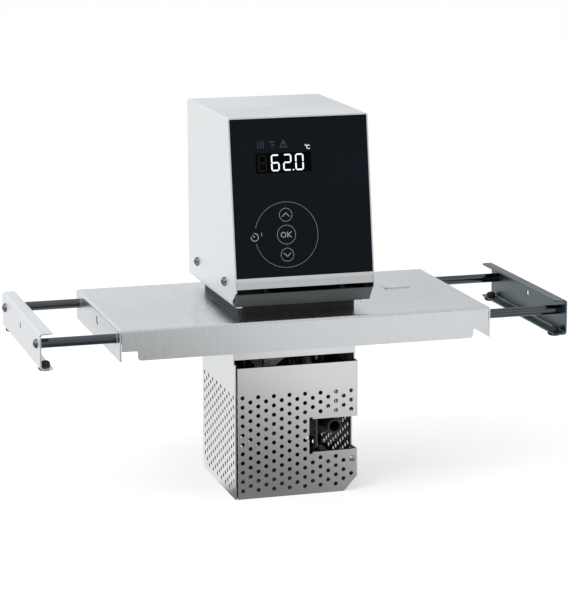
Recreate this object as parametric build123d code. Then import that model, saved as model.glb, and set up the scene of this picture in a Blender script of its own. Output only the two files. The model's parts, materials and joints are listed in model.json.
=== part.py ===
from build123d import *
import os
from math import atan2, cos, degrees, hypot, pi, radians, sin

# Immersion circulator on an extending bath bridge, in millimetres.
# X runs along the bridge to the right, Y to the back, Z up.
# The origin is the middle of the pump cage's footprint, on the plane that the cage stands on.

# Sides of the polygons that stand for small or hidden round forms
tiny_sides = 6
small_sides = 8
medium_sides = 12
large_sides = 20

# Clearances shared by all pieces
inner_gap = 0.2
press_gap = 0.02
thread_gap = 0.05
passage_gap = 0.25

# Bridge panel, a sheet folded down on all four sides
bridge_length = 320.0
bridge_depth = 175.0
bridge_x = 1.5
bridge_y = 2.5
bridge_top = 160.0
bridge_sheet = 1.2
bridge_bend = 2.2
apron_height = 26.0
apron_end_height = 18.0
apron_end_length = 15.0
apron_corner = 3.0
apron_notch_corner = 1.8
corner_slit = 0.5
end_wall_hole = 8.0
opening_half_x = 47.0
opening_half_y = 47.5
opening_corner = 4.0

# Bridge cap, a flush cover over a small opening beside the head
cap_length = 23.0
cap_depth = 18.0
cap_from_end = 49.5
cap_y = 21.0
cap_thickness = 0.8
cap_margin = 3.0
cap_plug_height = 4.0
cap_corner = 1.5

# Slide rods, their bushings, guides and stop nuts
rod_diameter = 8.0
rod_edge = 15.0
rod_drop = 9.5
rod_fit = 0.05
rod_length = 145.0
bushing_wall = 1.5
bushing_length = 6.0
guide_inset = 26.0
guide_thickness = 12.0
guide_height = 17.0
guide_margin = 9.0
stop_nut_height = 4.0
stop_nut_flats = 13.0

# End brackets that rest on the rim of the bath
bracket_sheet = 1.2
bracket_height = 30.3
bracket_flange = 11.0
bracket_bend = 2.4
bracket_tip_corner = 3.0
bracket_rise = 1.5
bracket_middle_hole = 5.5
left_reach = 65.5
right_reach = 70.0

# Rubber feet that snap into the lower flanges of the brackets
foot_inset = 12.0
foot_from_web = 6.3
foot_pad_diameter = 12.0
foot_pad_height = 2.6
foot_neck_diameter = 5.6
foot_head_diameter = 8.0
foot_head_height = 4.2
foot_taper = 0.7
foot_hole_gap = 0.1

# Round-headed screws, all of one form
screw_head_rise = 0.34
screw_crown = 0.62
rod_screw_head = 8.0
rod_screw_shank = 4.0
rod_screw_length = 11.0
hood_screw_head = 8.0
hood_screw_shank = 4.0
hood_screw_length = 6.0
rear_screw_head = 5.6
rear_screw_shank = 3.0
rear_screw_length = 5.0
cage_screw_head = 5.6
cage_screw_shank = 3.0
cage_screw_length = 5.0

# Hood of the control head
head_width = 120.0
head_lift = 9.0
head_height = 156.5
head_top_front = -59.5
head_back = 76.0
head_sheet = 1.2
head_bend = 1.6
head_slant = 8.75
front_lift = 17.5
hood_end_drop = 2.8
hood_lower_bend = 5.5
hood_under_flange = 8.5
hood_corner_cut_y = 11.5
hood_corner_cut_z = 9.0
hood_back_cut = 4.0
hood_return = 9.0
hood_screw_y = 45.6
hood_screw_lift = 18.3
rear_screw_lift = 30.0

# Front glass, the sheet behind it and the electronics on that sheet
glass_thickness = 3.0
glass_recess = 1.4
glass_start = 1.2
glass_drop = 9.0
glass_side_gap = 0.3
ledge_gap = 0.2
ledge_bevel = 2.9
ledge_return = 9.0
display_x = -13.9
display_s = 37.8
display_width = 47.6
display_height = 16.2
display_back = 5.0
touch_x = -20.0
touch_from_end = 34.2
touch_width = 60.0
touch_height = 48.0
board_width = 100.0
board_from_end = 5.6
board_start = 14.0
board_thickness = 1.6
board_margin = 6.0
spacer_flats = 6.0

# Floor of the head with its sloping front lip
lip_lift = 13.0
lip_top_y = -79.4
lip_foot_y = -71.2
lip_return = 5.0
floor_side_wall = 26.0
floor_back_wall = 14.0
floor_wall_front = 12.0

# Black spacer between head and bridge
spacer_half = 51.0
spacer_front = -57.0
spacer_back = 60.0
spacer_corner = 5.0

# Back panel, mains inlet and rocker switch
vent_count = 7
vent_length = 64.0
vent_height = 3.0
vent_pitch = 8.0
vent_lift = 71.0
inlet_x = 30.0
inlet_lift = 36.0
inlet_flange_width = 33.0
inlet_flange_height = 26.0
inlet_flange_thickness = 2.5
inlet_flange_corner = 3.0
inlet_body_width = 27.0
inlet_body_height = 20.0
inlet_body_depth = 24.0
inlet_socket_width = 24.0
inlet_socket_height = 16.5
inlet_socket_depth = 17.0
inlet_socket_corner = 4.0
inlet_pin_width = 2.0
inlet_pin_height = 4.0
inlet_pin_length = 15.0
inlet_pin_spacing = 14.0
inlet_pin_rise = 4.0
switch_x = -14.0
switch_lift = 36.0
switch_bezel_width = 17.0
switch_bezel_height = 25.0
switch_bezel_rim = 1.5
switch_bezel_thickness = 2.0
switch_body_depth = 16.0
switch_wall = 0.8
rocker_tilt = 10.0
rocker_half_height = 8.1
rocker_rise = 5.0
rocker_waist = 3.9
rocker_end_gap = 1.0
rocker_side_gap = 0.35
rocker_pivot_depth = 3.6
rocker_keel = 2.6
rocker_pin_radius = 1.2
rocker_pin_reach = 0.4

# Drive shaft, motor and cooling fan
shaft_x = 12.0
shaft_radius = 3.0
shaft_reach = 3.0
shaft_rise = 16.0
shaft_fit = 0.03
shaft_clear = 1.2
motor_lift = 14.6
motor_plate_thickness = 2.0
motor_plate_half = 38.0
motor_radius = 33.0
motor_wall = 2.0
motor_end = 6.0
motor_length = 58.0
standoff_flats = 7.0
standoff_offset = 33.5
stator_inner = 17.0
stator_length = 34.0
air_gap = 0.6
bearing_radius = 8.0
bearing_width = 5.0
fan_radius = 29.0
fan_hub_radius = 8.0
fan_height = 9.0
fan_lift = 3.5
fan_blades = 7
fan_blade_thickness = 1.4
fan_blade_angle = 32.0

# Power electronics in the head
power_board_left = -56.0
power_board_right = -27.0
power_board_front = -50.0
power_board_back = 46.0
power_board_lift = 6.0
transformer_length = 34.0
transformer_height = 28.0
sink_length = 46.0
sink_height = 36.0
sink_fins = 5
sink_fin_thickness = 2.0
sink_base = 4.0
component_margin = 3.0

# Pump cage below the bridge
cage_width = 108.5
cage_depth = 109.5
cage_sheet = 1.0
cage_height = 113.7
cage_gap = 0.4
cage_bend = 2.0
collar_bottom = 120.0
collar_step = 117.0
collar_setback = 5.0
collar_foot = 7.0
right_bevel_x = 12.5
right_bevel_z = 13.6
back_bevel_y = 7.8
back_bevel_z = 10.0

# Perforation of the cage in staggered columns
hole_diameter = 3.5
hole_pitch = 8.1
column_step = 6.85
hole_columns = 15
hole_rows = 11
first_row_z = 7.2
front_margin = 5.2
side_margin = 5.4
front_hole_corners = 6
side_hole_corners = 4
window_keep_off = 2.0
bevel_keep_off = 5.0
screw_keep_off = 6.0

# Outlet window through the front and right walls
window_left = 10.9
window_bottom = 36.6
window_top = 65.6
window_wrap = 16.8
window_lip = 3.0
window_lip_inset = 3.0
relief_length = 3.0
relief_height = 1.5
window_notch_radius = 1.8
window_notch_z = 50.0
cage_screw_inset = 5.0
cage_screw_z = 28.2
cage_tab_width = 10.0
cage_tab_height = 12.0

# Folded frame that hangs the pump from the head floor
frame_top = 71.5
frame_sheet = 1.5
frame_left = -43.0
frame_right = 43.0
frame_front_right = 27.5
frame_front = -42.0
frame_back = 44.0
frame_leg_width = 8.0
frame_tab = 6.0

# Pump with its spiral casing, outlet nozzle and impeller
casing_radius = 29.0
casing_shift_x = 2.0
casing_shift_y = -1.0
cavity_radius = 25.0
cavity_height = 19.0
casing_roof = 4.0
pump_cover_thickness = 3.0
pump_inlet_radius = 10.0
outlet_x = 35.5
outlet_z = 56.0
outlet_radius = 6.5
outlet_bore_radius = 4.6
outlet_front = -48.0
impeller_radius = 20.0
impeller_hub_radius = 6.0
impeller_disc = 2.0
impeller_blade_height = 11.0
impeller_blades = 6
impeller_blade_thickness = 1.5
impeller_roof_gap = 2.0
impeller_blade_angle = 35.0

# Tubular heater, a hairpin behind the shaft
heater_radius = 4.0
heater_half_width = 22.0
heater_y = 28.0
heater_bend = 16.0
heater_lift = 6.5
heater_rise = 9.6
gland_nut_height = 3.5
gland_nut_flats = 12.0

# Temperature probe and level float
probe_x = 19.5
probe_y = -45.0
probe_radius = 2.0
probe_bottom = 30.0
probe_rise = 6.6
stem_x = -36.0
stem_y = 0.0
stem_upper_radius = 4.0
stem_lower_radius = 2.5
stem_head_radius = 5.5
stem_head_height = 2.0
stem_lift = 4.5
stem_rise = 4.1
float_radius = 10.5
float_height = 16.0
float_bore_gap = 0.5
float_seat_gap = 0.3
float_travel = 12.0

# Places worked out from the sizes above
bridge_left = bridge_x - bridge_length / 2
bridge_right = bridge_x + bridge_length / 2
bridge_front = bridge_y - bridge_depth / 2
bridge_back = bridge_y + bridge_depth / 2
bridge_under = bridge_top - bridge_sheet
apron_bottom = bridge_top - apron_height
rod_radius = rod_diameter / 2
rod_z = bridge_top - rod_drop
rod_rows = (bridge_front + rod_edge, bridge_back - rod_edge)
cap_x = bridge_right - cap_from_end
bushing_radius = rod_radius + rod_fit + bushing_wall
bracket_top = bridge_top + bracket_rise
bracket_bottom = bracket_top - bracket_height
head_bottom = bridge_top + head_lift
head_top = head_bottom + head_height
front_length = (head_height - front_lift) / cos(radians(head_slant))
hood_screw_z = head_bottom + hood_screw_lift
rear_screw_z = head_bottom + rear_screw_lift
lip_top = head_bottom + lip_lift
head_half = head_width / 2
inner_half = head_half - head_sheet
floor_bottom = head_bottom + head_sheet
floor_top = floor_bottom + head_sheet
rear_screw_x = head_half - hood_return / 2 - head_sheet / 2
glass_end = front_length - glass_drop
glass_back = -glass_recess - glass_thickness
sheet_back = glass_back - head_sheet
board_face = sheet_back - display_back
board_end = glass_end - board_from_end
touch_s = glass_end - touch_from_end
vent_bottom = head_bottom + vent_lift
inlet_z = head_bottom + inlet_lift
switch_z = head_bottom + switch_lift
switch_hole_width = switch_bezel_width - 2 * switch_bezel_rim
switch_hole_height = switch_bezel_height - 2 * switch_bezel_rim
rocker_pocket_half = switch_hole_width / 2 - inner_gap - switch_wall
rocker_half_width = rocker_pocket_half - rocker_side_gap
motor_plate_bottom = floor_top + motor_lift
motor_bottom = motor_plate_bottom + motor_plate_thickness
motor_top = motor_bottom + motor_length
shaft_top = motor_top + shaft_rise
cage_left = -cage_width / 2
cage_right = cage_width / 2
cage_front = -cage_depth / 2
cage_back = cage_depth / 2
cover_left = cage_left + cage_sheet + cage_gap
collar_front = cage_front + collar_setback
collar_right = cage_right - cage_sheet
frame_bottom = frame_top - frame_sheet
casing_x = shaft_x + casing_shift_x
cavity_top = frame_bottom - casing_roof
cavity_bottom = cavity_top - cavity_height
pump_bottom = cavity_bottom - pump_cover_thickness
shaft_bottom = cavity_bottom + shaft_reach
heater_bottom = frame_top + heater_lift
heater_top = floor_top + heater_rise
probe_top = floor_top + probe_rise
stem_bottom = frame_top + stem_lift
stem_top = floor_top + stem_rise
heater_legs = ((shaft_x - heater_half_width, heater_y), (shaft_x + heater_half_width, heater_y))
float_low = stem_bottom + stem_head_height + float_seat_gap
stem_shoulder = float_low + float_height + float_travel + float_seat_gap

# Axes on the sloping front: s runs down it from the head's top edge, n points out of it
slope = radians(head_slant)
down_slope = (0, -sin(slope), -cos(slope))
out_of_slope = (0, -cos(slope), sin(slope))


def block(x0, x1, y0, y1, z0, z1):
    """A box between two corners, given in any order."""
    size = Box(abs(x1 - x0), abs(y1 - y0), abs(z1 - z0))
    return Pos((x0 + x1) / 2, (y0 + y1) / 2, (z0 + z1) / 2) * size


def rounded_block(x0, x1, y0, y1, z0, z1, radius):
    """A box with its four upright edges rounded."""
    body = block(x0, x1, y0, y1, z0, z1)
    return fillet(body.edges().filter_by(Axis.Z), radius)


def round_face(radius, sides=0, hole=False):
    """A circle, or a polygon with its corners on it, or for a hole with its flats on it."""
    return RegularPolygon(radius, sides, major_radius=not hole) if sides else Circle(radius)


def post(x, y, z0, z1, radius, sides=0, hole=False):
    """A round bar along Z."""
    return Pos(x, y, min(z0, z1)) * extrude(round_face(radius, sides, hole), abs(z1 - z0))


def cone(z0, z1, lower_radius, upper_radius, sides):
    """A faceted cone frustum on the Z axis."""
    lean = degrees(atan2(lower_radius - upper_radius, z1 - z0))
    return Pos(0, 0, z0) * extrude(round_face(lower_radius, sides), z1 - z0, taper=lean * cos(pi / sides))


def bar_x(x0, x1, y, z, radius, sides=0, hole=False):
    """A round bar along X."""
    bar = extrude(round_face(radius, sides, hole), abs(x1 - x0))
    return Pos(min(x0, x1), y, z) * Rot(0, 90, 0) * bar


def bar_y(x, y0, y1, z, radius, sides=0, hole=False):
    """A round bar along Y."""
    bar = extrude(round_face(radius, sides, hole), abs(y1 - y0))
    return Pos(x, min(y0, y1), z) * Rot(-90, 0, 0) * bar


def outline(points):
    return make_face(Polyline(*points, close=True))


def prism_x(face, x0, x1):
    """A side view drawn as (y, z), carried along X."""
    return extrude(Plane.YZ.offset(x0) * face, x1 - x0, dir=(1, 0, 0))


def prism_y(face, y0, y1):
    """A front view drawn as (x, z), carried along Y."""
    return extrude(Plane.XZ.offset(-y0) * face, y1 - y0, dir=(0, 1, 0))


def front_prism(points, x0, x1):
    """A section of the sloping front drawn as (s, n), carried along X."""
    start = Plane(origin=(x0, head_top_front, head_top), x_dir=down_slope, z_dir=(-1, 0, 0))
    return extrude(start * outline(points), x1 - x0, dir=(1, 0, 0))


def front_block(x, width, s0, s1, n0, n1):
    """A box set square to the sloping front, centred on x."""
    corners = [(s0, n0), (s1, n0), (s1, n1), (s0, n1)]
    return front_prism(corners, x - width / 2, x + width / 2)


def front_point(x, s, n):
    """A point on the sloping front, or n above it."""
    y = head_top_front + s * down_slope[1] + n * out_of_slope[1]
    z = head_top + s * down_slope[2] + n * out_of_slope[2]
    return (x, y, z)


def hexagon_bar(flats, height):
    """A hexagonal bar that rises from Z = 0."""
    return extrude(RegularPolygon(flats / 2, 6, major_radius=False), height)


def hexagon_nut(flats, height, radius):
    """A nut on a bar of the given radius, rising from Z = 0."""
    bore = post(0, 0, -1, height + 1, radius + press_gap, small_sides, hole=True)
    return hexagon_bar(flats, height) - bore


def together(solids):
    """Separate like pieces kept as one group."""
    return Compound(children=list(solids))


def round_screw(head_diameter, shank_diameter, length):
    """A round-headed screw whose head rises from Z = 0."""
    rim = head_diameter / 2
    rise = head_diameter * screw_head_rise
    head = cone(0, rise, rim, rim * screw_crown, small_sides)
    return head + post(0, 0, -length, 0, shank_diameter / 2, tiny_sides)


def passages(z0, z1):
    """Round holes for the shaft, the heater legs, the probe and the float stem."""
    places = [(shaft_x, 0, shaft_radius + shaft_clear), (probe_x, probe_y, probe_radius + passage_gap)]
    places += [(x, y, heater_radius + passage_gap) for x, y in heater_legs]
    places.append((stem_x, stem_y, stem_upper_radius + passage_gap))
    return [post(x, y, z0, z1, radius, small_sides, hole=True) for x, y, radius in places]


def middle_opening(z0, z1):
    """The opening through bridge and spacer above the cage."""
    space = block(-opening_half_x, opening_half_x, -opening_half_y, opening_half_y, z0, z1)
    return chamfer(space.edges().filter_by(Axis.Z), opening_corner)


def apron_view():
    """The front view of the bridge, whose long aprons are shorter at both ends."""
    end = bridge_top - apron_end_height
    left = bridge_left + apron_end_length
    right = bridge_right - apron_end_length
    face = outline([
        (bridge_left, bridge_top), (bridge_left, end), (left, end), (left, apron_bottom),
        (right, apron_bottom), (right, end), (bridge_right, end), (bridge_right, bridge_top),
    ])
    face = fillet(face.vertices().group_by(Axis.Y)[0], apron_corner)
    notches = [v for v in face.vertices() if abs(v.Y - end) < 0.01 and bridge_left < v.X - 1]
    return fillet([v for v in notches if v.X < bridge_right - 1], apron_notch_corner)


def bridge_panel():
    t = bridge_sheet
    outer = block(bridge_left, bridge_right, bridge_front, bridge_back, apron_bottom, bridge_top)
    outer = fillet(outer.edges().group_by(Axis.Z)[-1], bridge_bend)
    inner = block(
        bridge_left + t, bridge_right - t, bridge_front + t, bridge_back - t, apron_bottom, bridge_under
    )
    inner = chamfer(inner.edges().group_by(Axis.Z)[-1], bridge_bend - t)
    shell = outer - inner
    panel = shell & prism_y(apron_view(), bridge_front - 1, bridge_back + 1)
    for x0, x1 in ((bridge_left, bridge_left + t), (bridge_right - t, bridge_right)):
        panel += shell & block(x0, x1, bridge_front, bridge_back, apron_bottom, bridge_top)
    slit_top = bridge_top - bridge_bend - t
    cuts = [middle_opening(bridge_under - 1, bridge_top + 1), cap_opening(0, bridge_under - 1, bridge_top + 1)]
    for side, wall in ((-1, bridge_left), (1, bridge_right)):
        slit = wall - side * t
        for y in (bridge_front, bridge_back):
            cuts.append(block(slit, slit - side * corner_slit, y - t, y + t, apron_bottom - 1, slit_top))
        for y in rod_rows:
            cuts.append(bar_x(
                wall - 2 * t, wall + 2 * t, y, rod_z, bushing_radius + press_gap, small_sides
            ))
        cuts.append(bar_x(
            wall - 2 * t, wall + 2 * t, bridge_y, rod_z, end_wall_hole / 2, medium_sides, hole=True
        ))
    return panel - cuts


def cap_opening(gap, z0, z1):
    """The opening under the cap, or with a gap the plug that fills it."""
    half_x = cap_length / 2 - cap_margin - gap
    half_y = cap_depth / 2 - cap_margin - gap
    return block(cap_x - half_x, cap_x + half_x, cap_y - half_y, cap_y + half_y, z0, z1)


def bridge_cap():
    half_x = cap_length / 2
    half_y = cap_depth / 2
    lid = block(
        cap_x - half_x, cap_x + half_x, cap_y - half_y, cap_y + half_y,
        bridge_top, bridge_top + cap_thickness,
    )
    lid = chamfer(lid.edges().filter_by(Axis.Z), cap_corner)
    return lid + cap_opening(inner_gap, bridge_top - cap_plug_height, bridge_top)


def guide_face(side):
    """X of a guide rail's face towards the middle of the bridge."""
    wall = bridge_left if side < 0 else bridge_right
    return wall - side * (guide_inset + guide_thickness)


def guide_rail(side):
    """A moulded cross rail under the panel that guides both rods."""
    inner = guide_face(side)
    outer = inner + side * guide_thickness
    rail = block(
        inner, outer, rod_rows[0] - guide_margin, rod_rows[1] + guide_margin,
        bridge_under - guide_height, bridge_under,
    )
    bores = [
        bar_x(inner - side, outer + side, y, rod_z, rod_radius + rod_fit, medium_sides, hole=True)
        for y in rod_rows
    ]
    return rail - bores


def rod_bushings():
    """Sleeves in the end walls of the bridge."""
    sleeves = []
    for side, wall in ((-1, bridge_left), (1, bridge_right)):
        for y in rod_rows:
            end = wall - side * bushing_length
            sleeve = bar_x(wall, end, y, rod_z, bushing_radius, small_sides)
            sleeves.append(sleeve - bar_x(
                wall + side, end - side, y, rod_z, rod_radius + rod_fit, small_sides, hole=True
            ))
    return together(sleeves)


def web_face(side):
    """X of the outer face of a bracket's web."""
    return bridge_left - left_reach if side < 0 else bridge_right + right_reach


def rod_end(side):
    """X of the inner ends of a side's rods."""
    return web_face(side) - side * (bracket_sheet + rod_length)


def slide_rod(side, y):
    """A slide rod, tapped where it meets the bracket."""
    seat = web_face(side) - side * bracket_sheet
    rod = bar_x(seat, rod_end(side), y, rod_z, rod_radius)
    tapped = seat - side * (rod_screw_length - bracket_sheet + 1)
    return rod - bar_x(seat + side, tapped, y, rod_z, rod_screw_shank / 2 + thread_gap, tiny_sides, hole=True)


def stop_nuts(side):
    """Nuts on the rods' inner ends that stop at the guide rail."""
    nuts = []
    for y in rod_rows:
        nut = hexagon_nut(stop_nut_flats, stop_nut_height, rod_radius)
        nuts.append(Pos(rod_end(side), y, rod_z) * Rot(0, side * 90, 0) * nut)
    return together(nuts)


def foot_places(side):
    x = web_face(side) - side * foot_from_web
    half = bridge_depth / 2 - foot_inset
    return ((x, bridge_y - half), (x, bridge_y + half))


def end_bracket(side):
    """A channel of folded sheet with both flanges turned in towards the bridge."""
    t = bracket_sheet
    web = web_face(side)
    tip = web - side * bracket_flange
    body = block(web, tip, bridge_front, bridge_back, bracket_bottom, bracket_top)
    along_web = [e for e in body.edges().filter_by(Axis.Y) if abs(e.center().X - web) < 0.01]
    body = fillet(along_web, bracket_bend)
    tips = [e for e in body.edges().filter_by(Axis.Z) if abs(e.center().X - tip) < 0.01]
    body = fillet(tips, bracket_tip_corner)
    hollow = block(
        web - side * t, tip - side, bridge_front - 1, bridge_back + 1, bracket_bottom + t, bracket_top - t
    )
    along_web = [e for e in hollow.edges().filter_by(Axis.Y) if abs(e.center().X - web) < t + 0.01]
    cuts = [chamfer(along_web, bracket_bend - t)]
    for y in rod_rows:
        shank = rod_screw_shank / 2 + thread_gap
        cuts.append(bar_x(web - 2 * t, web + 2 * t, y, rod_z, shank, tiny_sides, hole=True))
    cuts.append(bar_x(web - 2 * t, web + 2 * t, bridge_y, rod_z, bracket_middle_hole / 2))
    for x, y in foot_places(side):
        neck = foot_neck_diameter / 2 + foot_hole_gap
        cuts.append(post(x, y, bracket_bottom - 1, bracket_bottom + t + 1, neck, small_sides, hole=True))
    return body - cuts


def bracket_screws(side):
    screw = round_screw(rod_screw_head, rod_screw_shank, rod_screw_length)
    return together(Pos(web_face(side), y, rod_z) * Rot(0, side * 90, 0) * screw for y in rod_rows)


def feet(side):
    """Rubber feet with a neck that snaps into the flange."""
    pad = foot_pad_diameter / 2
    neck = foot_neck_diameter / 2
    head = foot_head_diameter / 2
    t = bracket_sheet
    top = t + foot_head_height
    foot = post(0, 0, -foot_pad_height, 0, pad, medium_sides) + post(0, 0, 0, t, neck, small_sides)
    foot += cone(t, top, head, head * foot_taper, small_sides)
    return together(Pos(x, y, bracket_bottom) * foot for x, y in foot_places(side))


def hood_side_view():
    """The side view of the hood as (y, z)."""
    _, front_y, front_z = front_point(0, front_length + hood_end_drop, 0)
    return outline([
        (head_back, head_top), (head_top_front, head_top), (front_y, front_z),
        (front_y + hood_corner_cut_y, front_z - hood_corner_cut_z),
        (front_y + hood_corner_cut_y, head_bottom), (head_back - hood_back_cut, head_bottom),
        (head_back, head_bottom + hood_back_cut),
    ])


def folded_tube(half, y0, y1, z0, z1, upper_bend, lower_bend):
    """A long box along Y with rounded upper and lower long edges."""
    body = block(-half, half, y0, y1, z0, z1)
    body = fillet(body.edges().filter_by(Axis.Y).group_by(Axis.Z)[-1], upper_bend)
    return fillet(body.edges().filter_by(Axis.Y).group_by(Axis.Z)[0], lower_bend)


def hood():
    """Top and both sides in one folded sheet, rolled in under the head and turned in at the back."""
    t = head_sheet
    front = head_top_front - head_width
    outer = folded_tube(head_half, front, head_back, head_bottom, head_top, head_bend, hood_lower_bend)
    inner = folded_tube(
        inner_half, front - 1, head_back + 1, head_bottom + t, head_top - t, head_bend - t, hood_lower_bend - t
    )
    under = head_half - hood_under_flange
    body = outer - inner - block(-under, under, front - 1, head_back + 1, head_bottom - 1, floor_bottom + 1)
    body = body & prism_x(hood_side_view(), -head_half - 1, head_half + 1)
    cuts = []
    for side in (-1, 1):
        wall = side * inner_half
        edge = side * (head_half - hood_return)
        seat = head_back - t
        body += block(wall + side * t / 2, edge, seat - t, seat, hood_screw_z, head_top - head_bend)
        for y in (-hood_screw_y, hood_screw_y):
            shank = hood_screw_shank / 2 + thread_gap
            cuts.append(bar_x(wall - side * t, wall + side * 3 * t, y, hood_screw_z, shank, tiny_sides, hole=True))
        x = side * rear_screw_x
        shank = rear_screw_shank / 2 + thread_gap
        cuts.append(bar_y(x, seat - 2 * t, seat + t, rear_screw_z, shank, tiny_sides, hole=True))
    return body - cuts


def hood_screws():
    screw = round_screw(hood_screw_head, hood_screw_shank, hood_screw_length)
    screws = []
    for side in (-1, 1):
        for y in (-hood_screw_y, hood_screw_y):
            screws.append(Pos(side * head_half, y, hood_screw_z) * Rot(0, side * 90, 0) * screw)
    return together(screws)


def rear_panel():
    """The flat back of the head, with air slots and openings for inlet and switch."""
    t = head_sheet
    half = inner_half - inner_gap
    y0 = head_back - t
    panel = block(
        -half, half, y0, head_back, head_bottom + hood_lower_bend + inner_gap, head_top - t - inner_gap
    )
    cuts = []
    for row in range(vent_count):
        z = vent_bottom + row * vent_pitch
        cuts.append(block(-vent_length / 2, vent_length / 2, y0 - 1, head_back + 1, z, z + vent_height))
    for x, z, width, height in (
        (inlet_x, inlet_z, inlet_body_width, inlet_body_height),
        (switch_x, switch_z, switch_hole_width, switch_hole_height),
    ):
        w = width / 2
        h = height / 2
        cuts.append(block(x - w, x + w, y0 - 1, head_back + 1, z - h, z + h))
    shank = rear_screw_shank / 2 + thread_gap
    for x in (-rear_screw_x, rear_screw_x):
        cuts.append(bar_y(x, y0 - 1, head_back + 1, rear_screw_z, shank, tiny_sides, hole=True))
    return panel - cuts


def rear_screws():
    screw = round_screw(rear_screw_head, rear_screw_shank, rear_screw_length)
    return together(
        Pos(x, head_back, rear_screw_z) * Rot(-90, 0, 0) * screw for x in (-rear_screw_x, rear_screw_x)
    )


def mains_inlet():
    """A snap-in three-pole appliance inlet: flange, body behind the panel, socket and pins."""
    w = inlet_flange_width / 2
    h = inlet_flange_height / 2
    face = head_back + inlet_flange_thickness
    flange = block(inlet_x - w, inlet_x + w, head_back, face, inlet_z - h, inlet_z + h)
    flange = chamfer(flange.edges().filter_by(Axis.Y), inlet_flange_corner)
    w = inlet_body_width / 2 - inner_gap
    h = inlet_body_height / 2 - inner_gap
    body = flange + block(
        inlet_x - w, inlet_x + w, head_back - inlet_body_depth, head_back, inlet_z - h, inlet_z + h
    )
    w = inlet_socket_width / 2
    h = inlet_socket_height / 2
    floor = face - inlet_socket_depth
    socket = block(inlet_x - w, inlet_x + w, floor, face + 1, inlet_z - h, inlet_z + h)
    body -= chamfer(socket.edges().filter_by(Axis.Y).group_by(Axis.Z)[-1], inlet_socket_corner)
    w = inlet_pin_width / 2
    h = inlet_pin_height / 2
    for step_x, step_z in ((-1, -1), (1, -1), (0, 1)):
        x = inlet_x + step_x * inlet_pin_spacing / 2
        z = inlet_z + step_z * inlet_pin_rise / 2
        body += block(x - w, x + w, floor - 1, floor + inlet_pin_length, z - h, z + h)
    return body


def switch_bezel():
    """The switch's frame and body around the rocker."""
    w = switch_bezel_width / 2
    h = switch_bezel_height / 2
    face = head_back + switch_bezel_thickness
    body = block(switch_x - w, switch_x + w, head_back, face, switch_z - h, switch_z + h)
    w = switch_hole_width / 2 - inner_gap
    h = switch_hole_height / 2 - inner_gap
    body += block(switch_x - w, switch_x + w, head_back - switch_body_depth, head_back, switch_z - h, switch_z + h)
    w = rocker_pocket_half
    h = rocker_half_height + rocker_end_gap
    floor = face - rocker_pivot_depth - rocker_keel - 2 * rocker_end_gap
    pocket = block(switch_x - w, switch_x + w, floor, face + 1, switch_z - h, switch_z + h)
    reach = w + rocker_pin_reach + thread_gap
    pivot = bar_x(
        switch_x - reach, switch_x + reach, face - rocker_pivot_depth, switch_z,
        rocker_pin_radius + thread_gap, small_sides, hole=True,
    )
    return body - [pocket, pivot]


def rocker_switch():
    """The rocker as it lies when switched on: upper end out, lower end pressed in."""
    up = rocker_half_height
    keel = rocker_keel
    view = outline([
        (rocker_rise, up), (rocker_waist, 0), (rocker_rise, -up), (0, -up + rocker_end_gap),
        (-keel, -keel), (-keel, keel), (0, up - rocker_end_gap),
    ])
    body = prism_x(view, -rocker_half_width, rocker_half_width)
    reach = rocker_pocket_half + rocker_pin_reach
    body += bar_x(-reach, reach, 0, 0, rocker_pin_radius, medium_sides)
    pivot_y = head_back + switch_bezel_thickness - rocker_pivot_depth
    return Pos(switch_x, pivot_y, switch_z) * Rot(-rocker_tilt, 0, 0) * body


def front_glass():
    width = 2 * (inner_half - glass_side_gap)
    return front_block(0, width, glass_start, glass_end, glass_back, -glass_recess)


def front_sheet():
    """The sheet behind the glass, stepped out below it into a bright ledge."""
    t = head_sheet
    step = glass_end + ledge_gap
    crest = step + ledge_bevel
    half = inner_half - glass_side_gap
    section = [
        (glass_start, glass_back), (step, glass_back), (step, -glass_recess), (crest, 0),
        (front_length, 0), (front_length, -ledge_return), (front_length - t, -ledge_return),
        (front_length - t, -t), (crest + t / 4, -t), (step + t, -glass_recess - t / 2),
        (step + t, sheet_back), (glass_start, sheet_back),
    ]
    sheet = front_prism(section, -half, half)
    w = display_height / 2
    h = touch_height / 2
    windows = [
        front_block(display_x, display_width, display_s - w, display_s + w, sheet_back - 1, glass_back + 1),
        front_block(touch_x, touch_width, touch_s - h, touch_s + h, sheet_back - 1, glass_back + 1),
    ]
    return sheet - windows


def display_module():
    half = display_height / 2 - inner_gap
    width = display_width - 2 * inner_gap
    return front_block(display_x, width, display_s - half, display_s + half, board_face, glass_back)


def touch_sensor():
    """The sensing board against the back of the glass."""
    half = touch_height / 2 - inner_gap
    width = touch_width - 2 * inner_gap
    return front_block(touch_x, width, touch_s - half, touch_s + half, sheet_back, glass_back)


def control_board():
    return front_block(0, board_width, board_start, board_end, board_face - board_thickness, board_face)


def board_spacers():
    """Hexagonal spacers between the front sheet and the control board."""
    x_edge = board_width / 2 - board_margin
    spacers = []
    for x in (-x_edge, x_edge):
        for s in (board_start + board_margin, board_end - board_margin):
            seat = Plane(origin=front_point(x, s, board_face), x_dir=(1, 0, 0), z_dir=out_of_slope)
            spacers.append(seat * hexagon_bar(spacer_flats, display_back))
    return together(spacers)


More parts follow.
